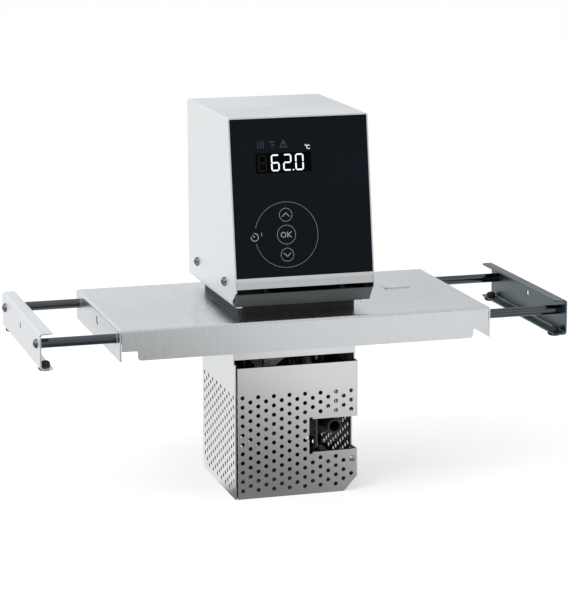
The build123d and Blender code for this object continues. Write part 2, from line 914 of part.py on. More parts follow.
def head_floor():
    """The floor with walls for the hood screws, a back wall and a sloping front lip."""
    t = head_sheet
    half = inner_half - inner_gap
    bend = hood_lower_bend - t
    flat = half - bend
    back = head_back - t - inner_gap
    wall_back = back - t
    wall_front = lip_foot_y + floor_wall_front
    floor = block(-flat, flat, lip_foot_y + t / 2, back, floor_bottom, floor_top)
    lean = atan2(lip_foot_y - lip_top_y, lip_top - floor_bottom)
    thick = t / cos(lean)
    lip = outline([
        (lip_foot_y, floor_bottom), (lip_top_y, lip_top), (lip_top_y + lip_return, lip_top),
        (lip_top_y + lip_return, lip_top - t), (lip_top_y + thick * 1.5, lip_top - t),
        (lip_foot_y + t, floor_top), (lip_foot_y + t, floor_bottom),
    ])
    floor += prism_x(lip, -half, half)
    floor += block(-flat, flat, back - t, back, floor_bottom, floor_bottom + floor_back_wall)
    cuts = passages(floor_bottom - 1, floor_top + 1)
    for side in (-1, 1):
        outer = side * half
        wall = side * (half - t)
        low = side * flat
        corner = outline([
            (low, floor_bottom), (outer, floor_bottom + bend), (wall, floor_bottom + bend + t / 2),
            (low - side * t / 2, floor_top), (low - side * 2 * t, floor_top), (low - side * 2 * t, floor_bottom),
        ])
        floor += prism_y(corner, wall_front, wall_back)
        floor += block(outer, wall, wall_front, wall_back, floor_bottom + bend, floor_bottom + floor_side_wall)
        for y in (-hood_screw_y, hood_screw_y):
            shank = hood_screw_shank / 2 + thread_gap
            cuts.append(bar_x(wall - side * t, outer + side, y, hood_screw_z, shank, tiny_sides, hole=True))
    return floor - cuts


def head_spacer():
    """The black frame that lifts the head off the bridge."""
    body = rounded_block(
        -spacer_half, spacer_half, spacer_front, spacer_back, bridge_top, floor_bottom, spacer_corner
    )
    return body - middle_opening(bridge_top - 1, floor_bottom + 1)


def motor_plate():
    """The square plate above the head floor that carries the motor."""
    half = motor_plate_half
    plate = block(shaft_x - half, shaft_x + half, -half, half, motor_plate_bottom, motor_bottom)
    return plate - post(
        shaft_x, 0, motor_plate_bottom - 1, motor_bottom + 1, bearing_radius - 1, small_sides, hole=True
    )


def motor_standoffs():
    bar = hexagon_bar(standoff_flats, motor_plate_bottom - floor_top)
    places = []
    for x in (shaft_x - standoff_offset, shaft_x + standoff_offset):
        for y in (-standoff_offset, standoff_offset):
            places.append(Pos(x, y, floor_top))
    return together(place * bar for place in places)


def motor_housing():
    """The motor's cup, open at the top, with the seat of the lower bearing."""
    cup = post(shaft_x, 0, motor_bottom, motor_top - motor_end, motor_radius, medium_sides)
    cup -= post(shaft_x, 0, motor_bottom + motor_end, motor_top, motor_radius - motor_wall, medium_sides)
    seat = motor_bottom + motor_end - bearing_width
    cup -= post(shaft_x, 0, seat, motor_top, bearing_radius + press_gap, medium_sides, hole=True)
    return cup - post(
        shaft_x, 0, motor_bottom - 1, motor_top, shaft_radius + shaft_clear, small_sides, hole=True
    )


def motor_end_bell():
    """The upper end of the motor with the seat of the upper bearing."""
    low = motor_top - motor_end
    bell = post(shaft_x, 0, low, motor_top, motor_radius, medium_sides)
    bell -= post(shaft_x, 0, low - 1, low + bearing_width, bearing_radius + press_gap, medium_sides, hole=True)
    return bell - post(
        shaft_x, 0, low - 1, motor_top + 1, shaft_radius + shaft_clear, small_sides, hole=True
    )


def ring(z0, z1, outer, inner, sides):
    """A ring round the shaft's axis."""
    bore = post(shaft_x, 0, z0 - 1, z1 + 1, inner, medium_sides, hole=True)
    return post(shaft_x, 0, z0, z1, outer, sides) - bore


def bearings():
    low = motor_bottom + motor_end - bearing_width
    high = motor_top - motor_end
    bore = shaft_radius + shaft_fit
    return together(ring(z, z + bearing_width, bearing_radius, bore, medium_sides) for z in (low, high))


def stator():
    middle = (motor_bottom + motor_top) / 2
    half = stator_length / 2
    return ring(middle - half, middle + half, motor_radius - motor_wall - inner_gap, stator_inner, medium_sides)


def rotor():
    middle = (motor_bottom + motor_top) / 2
    half = stator_length / 2
    return ring(middle - half, middle + half, stator_inner - air_gap, shaft_radius + press_gap, medium_sides)


def motor_shaft():
    return post(shaft_x, 0, shaft_bottom, shaft_top, shaft_radius, large_sides)


def cooling_fan():
    """A hub with slanted blades above the motor."""
    low = motor_top + fan_lift
    high = low + fan_height
    blades = []
    for index in range(fan_blades):
        reach = fan_radius - fan_hub_radius + 2
        blade = Box(reach, fan_blade_thickness, fan_height / cos(radians(fan_blade_angle)))
        blade = Pos(fan_radius - reach / 2, 0, 0) * blade
        blade = Rot(0, 0, index * 360 / fan_blades) * Rot(fan_blade_angle, 0, 0) * blade
        blades.append(Pos(shaft_x, 0, (low + high) / 2) * blade)
    fan = post(shaft_x, 0, low, high, fan_hub_radius, medium_sides) + blades
    fan = fan & block(shaft_x - fan_radius, shaft_x + fan_radius, -fan_radius, fan_radius, low, high)
    return fan - post(shaft_x, 0, low - 1, high + 1, shaft_radius + press_gap, small_sides, hole=True)


def power_board():
    low = floor_top + power_board_lift
    board = block(
        power_board_left, power_board_right, power_board_front, power_board_back, low, low + board_thickness
    )
    pads = []
    for y in (power_board_front + 4, power_board_back - 4):
        pads.append(block(power_board_left + 6, power_board_right - 3, y - 3, y + 3, floor_top, low))
    return board + pads


def transformer():
    """A block transformer on the front of the power board."""
    low = floor_top + power_board_lift + board_thickness
    y0 = power_board_front + component_margin
    x0 = power_board_left + component_margin
    x1 = power_board_right - component_margin
    core = block(x0, x1, y0, y0 + transformer_length, low, low + transformer_height)
    coil = block(
        x0 + 5, x1 - 5, y0 - 2, y0 + transformer_length + 2, low + 4, low + transformer_height - 4
    )
    return core + coil


def heat_sink():
    """A finned heat sink on the back of the power board."""
    low = floor_top + power_board_lift + board_thickness
    x0 = power_board_left + component_margin
    x1 = power_board_right - component_margin
    y1 = power_board_back - component_margin
    y0 = y1 - sink_length
    sink = block(x0, x1, y0, y1, low, low + sink_base)
    pitch = (x1 - x0 - sink_fin_thickness) / (sink_fins - 1)
    fins = []
    for index in range(sink_fins):
        x = x0 + index * pitch
        fins.append(block(x, x + sink_fin_thickness, y0, y1, low, low + sink_height))
    return sink + fins


def cage_side_view():
    """The side view of the whole cage as (y, z), bevelled at the back of the bottom."""
    return outline([
        (cage_front, 0), (cage_back - back_bevel_y, 0), (cage_back, back_bevel_z),
        (cage_back, bridge_under), (cage_front, bridge_under),
    ])


def cage_front_view():
    """The front view of the cage as (x, z), bevelled at the right of the bottom."""
    return outline([
        (cage_left, 0), (cage_right - right_bevel_x, 0), (cage_right, right_bevel_z),
        (cage_right, bridge_under), (cage_left, bridge_under),
    ])


def cage_solid(inset):
    """The cage's outer form, or the space inside its sheet, running on upwards."""
    side = cage_side_view()
    front = cage_front_view()
    bend = cage_bend - inset
    if inset:
        side = offset(side, -inset, kind=Kind.INTERSECTION)
        front = offset(front, -inset, kind=Kind.INTERSECTION)
    body = prism_x(side, cage_left - 1, cage_right + 1) & prism_y(front, cage_front - 1, cage_back + 1)
    body = body & block(
        cage_left + inset, cage_right - inset, cage_front + inset, cage_back - inset, 0, bridge_under
    )
    corner = [
        edge for edge in body.edges().filter_by(Axis.Z)
        if edge.center().X > 0 and edge.center().Y < 0
    ]
    return fillet(corner, bend)


def before_back_wall(depth):
    """All that lies in front of the back wall and its bevel, taken depth thick."""
    slant = hypot(back_bevel_y, back_bevel_z)
    foot = cage_back - back_bevel_y - depth * slant / back_bevel_z
    rise = back_bevel_z + depth * (slant - back_bevel_z) / back_bevel_y
    lean = back_bevel_y / back_bevel_z
    back = cage_back - depth
    view = outline([
        (2 * cage_front, -1), (foot - lean, -1), (back, rise), (back, bridge_top), (2 * cage_front, bridge_top),
    ])
    return prism_x(view, 2 * cage_left, 2 * cage_right)


def hole_grid(start):
    """Staggered hole places as (distance along the wall, height)."""
    for column in range(hole_columns):
        along = start + column * column_step
        stagger = column % 2
        for row in range(hole_rows - stagger):
            yield along, first_row_z + (row + stagger / 2) * hole_pitch


def clear_of_bevel(along, z, edge, bevel_across, bevel_up):
    """Whether a hole stays off a bevelled lower corner whose wall ends at edge."""
    run = (along - (edge - bevel_across)) * bevel_up - z * bevel_across
    return -run / hypot(bevel_across, bevel_up) > bevel_keep_off


def front_holes():
    """Perforation of the front wall, left out round the window, the screw and the bevel."""
    screw_x = cage_right - cage_screw_inset
    keep = hole_diameter / 2 + window_keep_off / 2
    for x, z in hole_grid(cover_left + front_margin):
        at_window = x > window_left - keep and window_bottom - keep < z < window_top + keep
        at_screw = hypot(x - screw_x, z - cage_screw_z) < screw_keep_off
        if clear_of_bevel(x, z, cage_right, right_bevel_x, right_bevel_z) and not at_window and not at_screw:
            yield x, z


def side_holes():
    """Perforation of the left wall, left out at the bevel."""
    for y, z in hole_grid(cage_front + side_margin):
        if clear_of_bevel(y, z, cage_back, back_bevel_y, back_bevel_z):
            yield y, z


def window_space():
    """The opening round the front right corner, with its relief cuts and notch."""
    front = block(window_left, cage_right + 1, cage_front - 1, cage_front + cage_sheet, window_bottom, window_top)
    side = block(
        cage_right - cage_bend, cage_right + 1, cage_front - 1, cage_front + window_wrap, window_bottom, window_top
    )
    notch = bar_y(window_left, cage_front - 1, cage_front + 2, window_notch_z, window_notch_radius)
    cuts = [front, side, notch]
    for z in (window_bottom - relief_height, window_top):
        cuts.append(block(window_left, window_left + relief_length, cage_front - 1, cage_front + 2, z, z + relief_height))
        y0 = cage_front + window_wrap - relief_length
        cuts.append(block(cage_right - 2, cage_right + 1, y0, y0 + relief_length, z, z + relief_height))
    return cuts


def window_lips():
    """Edges turned inwards above and below the window, on both walls."""
    t = cage_sheet
    lips = []
    for z in (window_bottom - t, window_top):
        front = cage_front + t
        wall = cage_right - t
        x1 = wall - window_lip - t
        lips.append(block(window_left + window_lip_inset, x1, front, front + window_lip, z, z + t))
        y0 = front + window_lip + t
        lips.append(block(wall, wall - window_lip, y0, cage_front + window_wrap - window_lip_inset, z, z + t))
    return lips


def cage_cover():
    """Front, right wall and bottom of the cage in one folded, perforated sheet."""
    t = cage_sheet
    body = cage_solid(0) - cage_solid(t)
    body = body & before_back_wall(t + inner_gap)
    body = body & block(cover_left, cage_right, cage_front, cage_back, 0, cage_height)
    tab_top = cage_screw_z + cage_tab_height / 2
    tab = block(
        cage_right - t, cage_right - t - cage_tab_width, cage_front + t, cage_front + 2 * t,
        tab_top - cage_tab_height, min(tab_top, window_bottom - 2 * t),
    )
    shank = cage_screw_shank / 2 + thread_gap
    screw_x = cage_right - cage_screw_inset
    cuts = window_space()
    cuts.append(bar_y(screw_x, cage_front - 1, cage_front + 3 * t, cage_screw_z, shank, tiny_sides, hole=True))
    side_screw_z = cage_height - collar_foot / 2
    cuts.append(bar_x(cage_right - 2 * t, cage_right + 1, 0, side_screw_z, shank, tiny_sides, hole=True))
    hole = extrude(RegularPolygon(hole_diameter / 2, front_hole_corners), 3 * t, both=True)
    for x, z in front_holes():
        cuts.append(Pos(x, cage_front, z) * Rot(90, 0, 0) * hole)
    return body + tab - cuts + window_lips()


def cage_shell():
    """Left wall, back wall and collar of the cage, welded into one piece."""
    t = cage_sheet
    whole = cage_solid(0)
    left = whole & block(cage_left, cage_left + t, cage_front, cage_back, 0, bridge_under)
    back = whole - before_back_wall(t)
    back = back & block(cage_left, cage_right, cage_front, cage_back, 0, bridge_under)
    above = block(cage_left - 1, cage_left + 2 * t, cage_front - 1, collar_front, collar_step, bridge_under + 1)
    side_top = block(collar_right, cage_right + 1, cage_front, cage_back + 1, collar_bottom, bridge_under + 1)
    front = block(cage_left + t, collar_right, collar_front, collar_front + t, collar_bottom, bridge_under)
    right = block(
        collar_right - t, collar_right, collar_front, cage_back - t, cage_height - collar_foot, bridge_under
    )
    right -= block(collar_right - t, collar_right, collar_front - 1, collar_front + t, 0, collar_bottom)
    shank = cage_screw_shank / 2 + thread_gap
    cuts = [above, side_top]
    side_screw_z = cage_height - collar_foot / 2
    cuts.append(bar_x(collar_right - 2 * t, collar_right + 1, 0, side_screw_z, shank, tiny_sides, hole=True))
    hole = extrude(RegularPolygon(hole_diameter / 2, side_hole_corners), 3 * t, both=True)
    for y, z in side_holes():
        cuts.append(Pos(cage_left, y, z) * Rot(0, 90, 0) * hole)
    return left + back + front + right - cuts


def cage_screws():
    """One screw closes the corner below the window, one holds the cover to the collar."""
    screw = round_screw(cage_screw_head, cage_screw_shank, cage_screw_length)
    front = Pos(cage_right - cage_screw_inset, cage_front, cage_screw_z) * Rot(90, 0, 0) * screw
    side = Pos(cage_right, 0, cage_height - collar_foot / 2) * Rot(0, 90, 0) * screw
    return together([front, side])


def pump_frame():
    """One folded sheet: the plate over the pump and four legs up to the head floor."""
    t = frame_sheet
    view = outline([
        (frame_left, frame_front), (frame_front_right, frame_front), (frame_front_right, frame_front / 2),
        (frame_right, frame_front / 2), (frame_right, frame_back), (frame_left, frame_back),
    ])
    frame = extrude(Plane.XY.offset(frame_bottom) * view, t, dir=(0, 0, 1))
    for x, inward, y in (
        (frame_left, 1, frame_front), (frame_front_right, -1, frame_front),
        (frame_left, 1, frame_back - frame_leg_width), (frame_right, -1, frame_back - frame_leg_width),
    ):
        frame += block(x, x + inward * t, y, y + frame_leg_width, frame_bottom, floor_bottom)
        frame += block(x, x + inward * frame_tab, y, y + frame_leg_width, floor_bottom - t, floor_bottom)
    return frame - post(
        shaft_x, 0, frame_bottom - 1, frame_top + 1, shaft_radius + shaft_clear, small_sides, hole=True
    )


def pump_casing():
    """The casing: an off-centre chamber that widens into a nozzle pointing at the window."""
    body = post(casing_x, casing_shift_y, cavity_bottom, frame_bottom, casing_radius, large_sides)
    body += bar_y(outlet_x, outlet_front, casing_shift_y, outlet_z, outlet_radius, medium_sides)
    body -= post(casing_x, casing_shift_y, cavity_bottom - 1, cavity_top, cavity_radius, large_sides)
    body -= bar_y(
        outlet_x, outlet_front - 1, casing_shift_y, outlet_z, outlet_bore_radius, medium_sides, hole=True
    )
    return body - post(
        shaft_x, 0, cavity_top - 1, frame_bottom + 1, shaft_radius + shaft_clear, small_sides, hole=True
    )


def pump_cover():
    """The cover under the casing with the suction opening."""
    cover = post(casing_x, casing_shift_y, pump_bottom, cavity_bottom, casing_radius, large_sides)
    return cover - post(shaft_x, 0, pump_bottom - 1, cavity_bottom + 1, pump_inlet_radius, medium_sides)


def impeller():
    """A disc with blades that sweep back from the hub."""
    disc_top = cavity_top - impeller_roof_gap
    disc_bottom = disc_top - impeller_disc
    blade_bottom = disc_bottom - impeller_blade_height
    body = post(shaft_x, 0, disc_bottom, disc_top, impeller_radius, large_sides)
    body += post(shaft_x, 0, shaft_bottom, disc_bottom, impeller_hub_radius, medium_sides)
    reach = impeller_radius - impeller_hub_radius
    for index in range(impeller_blades):
        blade = block(-2, reach, 0, impeller_blade_thickness, blade_bottom, disc_bottom)
        blade = Pos(impeller_hub_radius, 0, 0) * Rot(0, 0, impeller_blade_angle) * blade
        body += Pos(shaft_x, 0, 0) * Rot(0, 0, index * 360 / impeller_blades) * blade
    return body - post(
        shaft_x, 0, shaft_bottom - 1, disc_top + 1, shaft_radius + press_gap, small_sides, hole=True
    )


def heater():
    """One bent tube: down, across behind the shaft and up again."""
    (left, y), (right, _) = heater_legs
    low = heater_bottom
    path = FilletPolyline(
        (left, y, heater_top), (left, y, low), (right, y, low), (right, y, heater_top), radius=heater_bend
    )
    section = Plane(origin=(left, y, heater_top), z_dir=(0, 0, -1)) * round_face(heater_radius, tiny_sides)
    return sweep(section, path)


def gland_nuts():
    """Nuts that hold the heater's legs on the head floor."""
    nut = hexagon_nut(gland_nut_flats, gland_nut_height, heater_radius)
    return together(Pos(x, y, floor_top) * nut for x, y in heater_legs)


def temperature_probe():
    return post(probe_x, probe_y, probe_bottom, probe_top, probe_radius, medium_sides)


def float_stem():
    """A turned stem: a foot and a shoulder stop the float between them."""
    stem = post(stem_x, stem_y, stem_bottom, stem_bottom + stem_head_height, stem_head_radius, medium_sides)
    stem += post(stem_x, stem_y, stem_bottom, stem_top, stem_lower_radius, small_sides)
    return stem + post(stem_x, stem_y, stem_shoulder, stem_top, stem_upper_radius, small_sides)


def level_float():
    high = float_low + float_height
    bore = stem_lower_radius + float_bore_gap
    body = post(stem_x, stem_y, float_low, high, float_radius, large_sides)
    return body - post(stem_x, stem_y, float_low - 1, high + 1, bore, small_sides, hole=True)


def all_nodes():
    """Every node's name and shape."""
    nodes = {
        "bridge_panel": bridge_panel(),
        "bridge_cap": bridge_cap(),
        "rod_bushings": rod_bushings(),
        "head_hood": hood(),
        "hood_screws": hood_screws(),
        "rear_panel": rear_panel(),
        "rear_screws": rear_screws(),
        "mains_inlet": mains_inlet(),
        "switch_bezel": switch_bezel(),
        "rocker_switch": rocker_switch(),
        "front_glass": front_glass(),
        "front_sheet": front_sheet(),
        "display_module": display_module(),
        "touch_sensor": touch_sensor(),
        "control_board": control_board(),
        "board_spacers": board_spacers(),
        "head_floor": head_floor(),
        "head_spacer": head_spacer(),
        "motor_plate": motor_plate(),
        "motor_standoffs": motor_standoffs(),
        "motor_housing": motor_housing(),
        "motor_end_bell": motor_end_bell(),
        "motor_bearings": bearings(),
        "stator": stator(),
        "rotor": rotor(),
        "motor_shaft": motor_shaft(),
        "cooling_fan": cooling_fan(),
        "power_board": power_board(),
        "transformer": transformer(),
        "heat_sink": heat_sink(),
        "cage_shell": cage_shell(),
        "cage_cover": cage_cover(),
        "cage_screws": cage_screws(),
        "pump_frame": pump_frame(),
        "pump_casing": pump_casing(),
        "pump_cover": pump_cover(),
        "impeller": impeller(),
        "heater_tube": heater(),
        "heater_nuts": gland_nuts(),
        "temperature_probe": temperature_probe(),
        "float_stem": float_stem(),
        "level_float": level_float(),
    }
    for name, side in (("left", -1), ("right", 1)):
        nodes[f"{name}_guide_rail"] = guide_rail(side)
        nodes[f"{name}_front_rod"] = slide_rod(side, rod_rows[0])
        nodes[f"{name}_rear_rod"] = slide_rod(side, rod_rows[1])
        nodes[f"{name}_stop_nuts"] = stop_nuts(side)
        nodes[f"{name}_bracket"] = end_bracket(side)
        nodes[f"{name}_bracket_screws"] = bracket_screws(side)
        nodes[f"{name}_feet"] = feet(side)
    return nodes


def main():
    os.makedirs("parts", exist_ok=True)
    for name, shape in all_nodes().items():
        export_step(shape, f"parts/{name}.step")


if __name__ == "__main__":
    main()
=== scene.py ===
import json
import math

import bmesh
import bpy
from mathutils import Matrix, Vector
from mathutils.geometry import delaunay_2d_cdt


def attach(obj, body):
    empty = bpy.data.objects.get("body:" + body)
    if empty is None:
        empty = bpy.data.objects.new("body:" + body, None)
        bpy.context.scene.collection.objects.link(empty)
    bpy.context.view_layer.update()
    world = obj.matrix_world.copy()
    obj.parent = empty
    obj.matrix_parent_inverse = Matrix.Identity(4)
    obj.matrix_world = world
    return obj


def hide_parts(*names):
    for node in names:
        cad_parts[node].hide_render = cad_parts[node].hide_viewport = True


# Looks of an immersion circulator on an extending bath bridge.
# Sizes here are in millimetres in the model's own frame, and meshes are made in metres.

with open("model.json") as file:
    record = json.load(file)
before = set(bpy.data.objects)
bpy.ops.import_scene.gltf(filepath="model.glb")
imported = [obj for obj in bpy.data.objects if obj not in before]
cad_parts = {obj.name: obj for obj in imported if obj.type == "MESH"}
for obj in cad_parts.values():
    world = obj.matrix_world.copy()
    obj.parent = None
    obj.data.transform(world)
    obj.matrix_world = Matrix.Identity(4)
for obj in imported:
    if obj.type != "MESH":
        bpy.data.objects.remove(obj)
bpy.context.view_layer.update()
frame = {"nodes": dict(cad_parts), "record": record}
nodes = frame["nodes"]
MM = 0.001


# Materials: noise scales count per metre, and bump depths are in metres.
# Tones are factors on a colour, and spreads are added to a roughness.
NOISE_START, NOISE_END = 0.3, 0.7
FACING_START, FACING_END = 0.6, 0.8
BRUSH_FINE, BRUSH_SLOW = 5200.0, 14.0
BRUSH_CLOUD = 9.0
BRUSH_STRENGTH, BRUSH_DEPTH = 0.06, 0.00003
BRUSH_SPREAD = (-0.05, 0.06)
BRUSH_CLOUD_SPREAD = (-0.02, 0.03)
METAL_TONES = (0.93, 1.05)
METAL_SPREAD = (-0.03, 0.05)
PLASTIC_CLOUD = 45.0
PLASTIC_TONES = (0.85, 1.12)
PLASTIC_SPREAD = (-0.05, 0.06)
GLASS_CLOUD = 12.0
GLASS_DARK, GLASS_LIGHT = (0.0025, 0.005, 0.008), (0.004, 0.007, 0.011)
GLASS_ROUGHNESS = (0.03, 0.06)
GLASS_SPECULAR = 0.1
PRINT_CLOUD = 160.0
PRINT_TONES = (0.92, 1.0)
PRINT_ROUGHNESS = 0.4
PRINT_SPECULAR = 0.03


def new_material(name):
    """A node material with its shader, and a helper that adds nodes."""
    mat = bpy.data.materials.new(name)
    mat.use_nodes = True
    tree = mat.node_tree
    tree.nodes.clear()
    out = tree.nodes.new("ShaderNodeOutputMaterial")
    shader = tree.nodes.new("ShaderNodeBsdfPrincipled")
    tree.links.new(shader.outputs[0], out.inputs["Surface"])

    def add(kind, **settings):
        node = tree.nodes.new(kind)
        for key, value in settings.items():
            setattr(node, key, value)
        return node

    return mat, tree, shader, add


def stretched_noise(tree, add, scale, detail, rough):
    """Noise over the object's own coordinates, with a scale for each axis."""
    coords = add("ShaderNodeTexCoord")
    mapping = add("ShaderNodeMapping")
    mapping.inputs["Scale"].default_value = scale
    noise = add("ShaderNodeTexNoise")
    noise.inputs["Scale"].default_value = 1.0
    noise.inputs["Detail"].default_value = detail
    noise.inputs["Roughness"].default_value = rough
    tree.links.new(coords.outputs["Object"], mapping.inputs["Vector"])
    tree.links.new(mapping.outputs["Vector"], noise.inputs["Vector"])
    return noise.outputs["Fac"]


def ramp_between(tree, add, value, low, high, start=NOISE_START, end=NOISE_END):
    """Maps the values between start and end onto a range."""
    node = add("ShaderNodeMapRange")
    tree.links.new(value, node.inputs["Value"])
    node.inputs["From Min"].default_value = start
    node.inputs["From Max"].default_value = end
    node.inputs["To Min"].default_value = low
    node.inputs["To Max"].default_value = high
    return node.outputs["Result"]


def colour_between(tree, add, value, low, high):
    """Mixes two colours by a 0 to 1 value."""
    node = add("ShaderNodeMix", data_type="RGBA")
    tree.links.new(value, node.inputs["Factor"])
    node.inputs["A"].default_value = (*low, 1)
    node.inputs["B"].default_value = (*high, 1)
    return node.outputs["Result"]


def tones(colour, darker, lighter):
    """A darker and a lighter tone of a colour."""
    return tuple(c * darker for c in colour), tuple(min(1.0, c * lighter) for c in colour)


def tint_base(tree, add, shader, value, dark, light):
    """Gives the shader a colour between two tones, chosen by a noise value."""
    tint = colour_between(tree, add, ramp_between(tree, add, value, 0, 1), dark, light)
    tree.links.new(tint, shader.inputs["Base Color"])
    return tint


def mix_values(tree, add, factor, a, b):
    """Mixes two values by a factor, all three of them sockets."""
    node = add("ShaderNodeMix", data_type="FLOAT")
    tree.links.new(factor, node.inputs["Factor"])
    tree.links.new(a, node.inputs["A"])
    tree.links.new(b, node.inputs["B"])
    return node.outputs["Result"]


def roughness_by(tree, add, value, roughness, spread):
    """A roughness that changes a little with a noise value."""
    low, high = spread
    return ramp_between(tree, add, value, roughness + low, roughness + high)


def bump(tree, add, shader, height, strength, distance):
    """Feeds a height into the shader's normal."""
    node = add("ShaderNodeBump")
    node.inputs["Strength"].default_value = strength
    node.inputs["Distance"].default_value = distance
    tree.links.new(height, node.inputs["Height"])
    tree.links.new(node.outputs["Normal"], shader.inputs["Normal"])


def side_share(tree, add, axis):
    """How far a face looks along an axis, from 0 to 1."""
    geometry = add("ShaderNodeNewGeometry")
    split = add("ShaderNodeSeparateXYZ")
    tree.links.new(geometry.outputs["Normal"], split.inputs[0])
    size = add("ShaderNodeMath", operation="ABSOLUTE")
    tree.links.new(split.outputs[axis], size.inputs[0])
    return ramp_between(tree, add, size.outputs[0], 0, 1, FACING_START, FACING_END)


def brushed_steel(name, colour, roughness, grain=0.05, across="X", anisotropic=0.4):
    """Stainless sheet with fine brush lines that follow the fold over the edges."""
    mat, tree, shader, add = new_material(name)
    scales = {
        "X": (BRUSH_FINE, BRUSH_SLOW, BRUSH_SLOW),
        "Y": (BRUSH_SLOW, BRUSH_FINE, BRUSH_SLOW),
        "Z": (BRUSH_SLOW, BRUSH_SLOW, BRUSH_FINE),
    }
    lines = stretched_noise(tree, add, scales[across], 2.0, 0.6)
    other = {"X": "Z", "Y": "Z", "Z": "Y"}[across]
    turned = stretched_noise(tree, add, scales[other], 2.0, 0.6)
    share = side_share(tree, add, across)
    grain_value = mix_values(tree, add, share, lines, turned)
    cloud = stretched_noise(tree, add, (BRUSH_CLOUD,) * 3, 2.0, 0.5)
    tint_base(tree, add, shader, grain_value, *tones(colour, 1 - grain, 1 + grain))
    rough = add("ShaderNodeMath", operation="ADD")
    tree.links.new(ramp_between(tree, add, grain_value, *BRUSH_SPREAD), rough.inputs[0])
    clouded = roughness_by(tree, add, cloud, roughness, BRUSH_CLOUD_SPREAD)
    tree.links.new(clouded, rough.inputs[1])
    tree.links.new(rough.outputs[0], shader.inputs["Roughness"])
    bump(tree, add, shader, grain_value, BRUSH_STRENGTH, BRUSH_DEPTH)
    shader.inputs["Metallic"].default_value = 1.0
    shader.inputs["Anisotropic"].default_value = anisotropic
    return mat


def plain_metal(name, colour, roughness, spots=60.0):
    """Machined or plated metal with a slight change of tone and gloss."""
    mat, tree, shader, add = new_material(name)
    cloud = stretched_noise(tree, add, (spots, spots, spots), 4.0, 0.6)
    tint_base(tree, add, shader, cloud, *tones(colour, *METAL_TONES))
    gloss = roughness_by(tree, add, cloud, roughness, METAL_SPREAD)
    tree.links.new(gloss, shader.inputs["Roughness"])
    shader.inputs["Metallic"].default_value = 1.0
    return mat


def moulded(name, colour, roughness, grain_size=2600.0, depth=0.00004, strength=0.25):
    """Moulded plastic or rubber with a fine texture in its surface."""
    mat, tree, shader, add = new_material(name)
    grain = stretched_noise(tree, add, (grain_size,) * 3, 2.0, 0.6)
    cloud = stretched_noise(tree, add, (PLASTIC_CLOUD,) * 3, 2.0, 0.5)
    tint_base(tree, add, shader, cloud, *tones(colour, *PLASTIC_TONES))
    gloss = roughness_by(tree, add, grain, roughness, PLASTIC_SPREAD)
    tree.links.new(gloss, shader.inputs["Roughness"])
    bump(tree, add, shader, grain, strength, depth)
    return mat


def black_glass(name):
    """Glass printed black on its back, with a deep gloss."""
    mat, tree, shader, add = new_material(name)
    cloud = stretched_noise(tree, add, (GLASS_CLOUD,) * 3, 2.0, 0.5)
    tint_base(tree, add, shader, cloud, GLASS_DARK, GLASS_LIGHT)
    gloss = ramp_between(tree, add, cloud, *GLASS_ROUGHNESS)
    tree.links.new(gloss, shader.inputs["Roughness"])
    shader.inputs["IOR"].default_value = 1.5
    shader.inputs["Specular IOR Level"].default_value = GLASS_SPECULAR
    return mat


def lit_print(name, colour, strength):
    """A printed or lit sign on the glass, a little uneven."""
    mat, tree, shader, add = new_material(name)
    cloud = stretched_noise(tree, add, (PRINT_CLOUD,) * 3, 2.0, 0.5)
    tint = tint_base(tree, add, shader, cloud, *tones(colour, *PRINT_TONES))
    tree.links.new(tint, shader.inputs["Emission Color"])
    shader.inputs["Emission Strength"].default_value = strength
    shader.inputs["Roughness"].default_value = PRINT_ROUGHNESS
    shader.inputs["Specular IOR Level"].default_value = PRINT_SPECULAR
    return mat


steel_panel = brushed_steel("brushed_sheet", (0.70, 0.72, 0.735), 0.28, 0.12)
steel_hood = brushed_steel("hood_sheet", (0.82, 0.84, 0.86), 0.28, 0.03, "Y")
steel_left = brushed_steel("left_bracket_sheet", (0.80, 0.82, 0.84), 0.3, 0.03, "Y")
steel_cage = brushed_steel("polished_sheet", (0.74, 0.75, 0.76), 0.22, 0.03, "X", 0.2)
# Painted shade: the head floor and its downward sloping front lip are steel painted dark grey, for
# the shade and dark reflection on the lip.
steel_lip_painted_shade = brushed_steel("lip_painted_shade", (0.20, 0.21, 0.21), 0.36)
# Painted shade: steel painted near black for the cage's inside faces and the pump frame, where
# shade falls inside the cage.
steel_inner_painted_shade = brushed_steel("inner_painted_shade", (0.05, 0.055, 0.06), 0.4, 0.05, "X", 0.2)
# Partly painted shade: the spacer is black plastic, painted darker than the other black plastic for
# the deep shadow under the head.
spacer_black_painted_shade = moulded("spacer_black_painted_shade", (0.006, 0.006, 0.007), 0.6)
steel_rod = plain_metal("rod_steel", (0.10, 0.11, 0.12), 0.14)
# Painted shade: the right bracket is the left bracket's steel painted near black, for the shade on
# its face.
steel_bracket_painted_shade = brushed_steel("right_bracket_painted_shade", (0.10, 0.13, 0.145), 0.34)
steel_screw = plain_metal("screw_steel", (0.52, 0.52, 0.54), 0.24)
glass_front = black_glass("black_glass")
plastic_black = moulded("black_plastic", (0.022, 0.022, 0.024), 0.42)
plastic_grey = moulded("grey_plastic", (0.30, 0.31, 0.33), 0.5)
plastic_gloss = moulded("gloss_black", (0.014, 0.014, 0.016), 0.22, 900.0, 0.00001, 0.1)
rubber = moulded("rubber_black", (0.018, 0.018, 0.018), 0.7)
board_green = moulded("board", (0.02, 0.11, 0.05), 0.4)
display_dark = moulded("display", (0.012, 0.012, 0.015), 0.3)
motor_paint = moulded("motor_steel", (0.07, 0.075, 0.085), 0.38)
aluminium = plain_metal("aluminium", (0.62, 0.63, 0.64), 0.34)
winding = plain_metal("winding", (0.50, 0.24, 0.11), 0.4)
float_pale = moulded("float_plastic", (0.78, 0.78, 0.74), 0.55, 700.0, 0.00012, 0.4)
steel_heater = brushed_steel("heater_steel", (0.36, 0.35, 0.34), 0.34, 0.06, "Z")

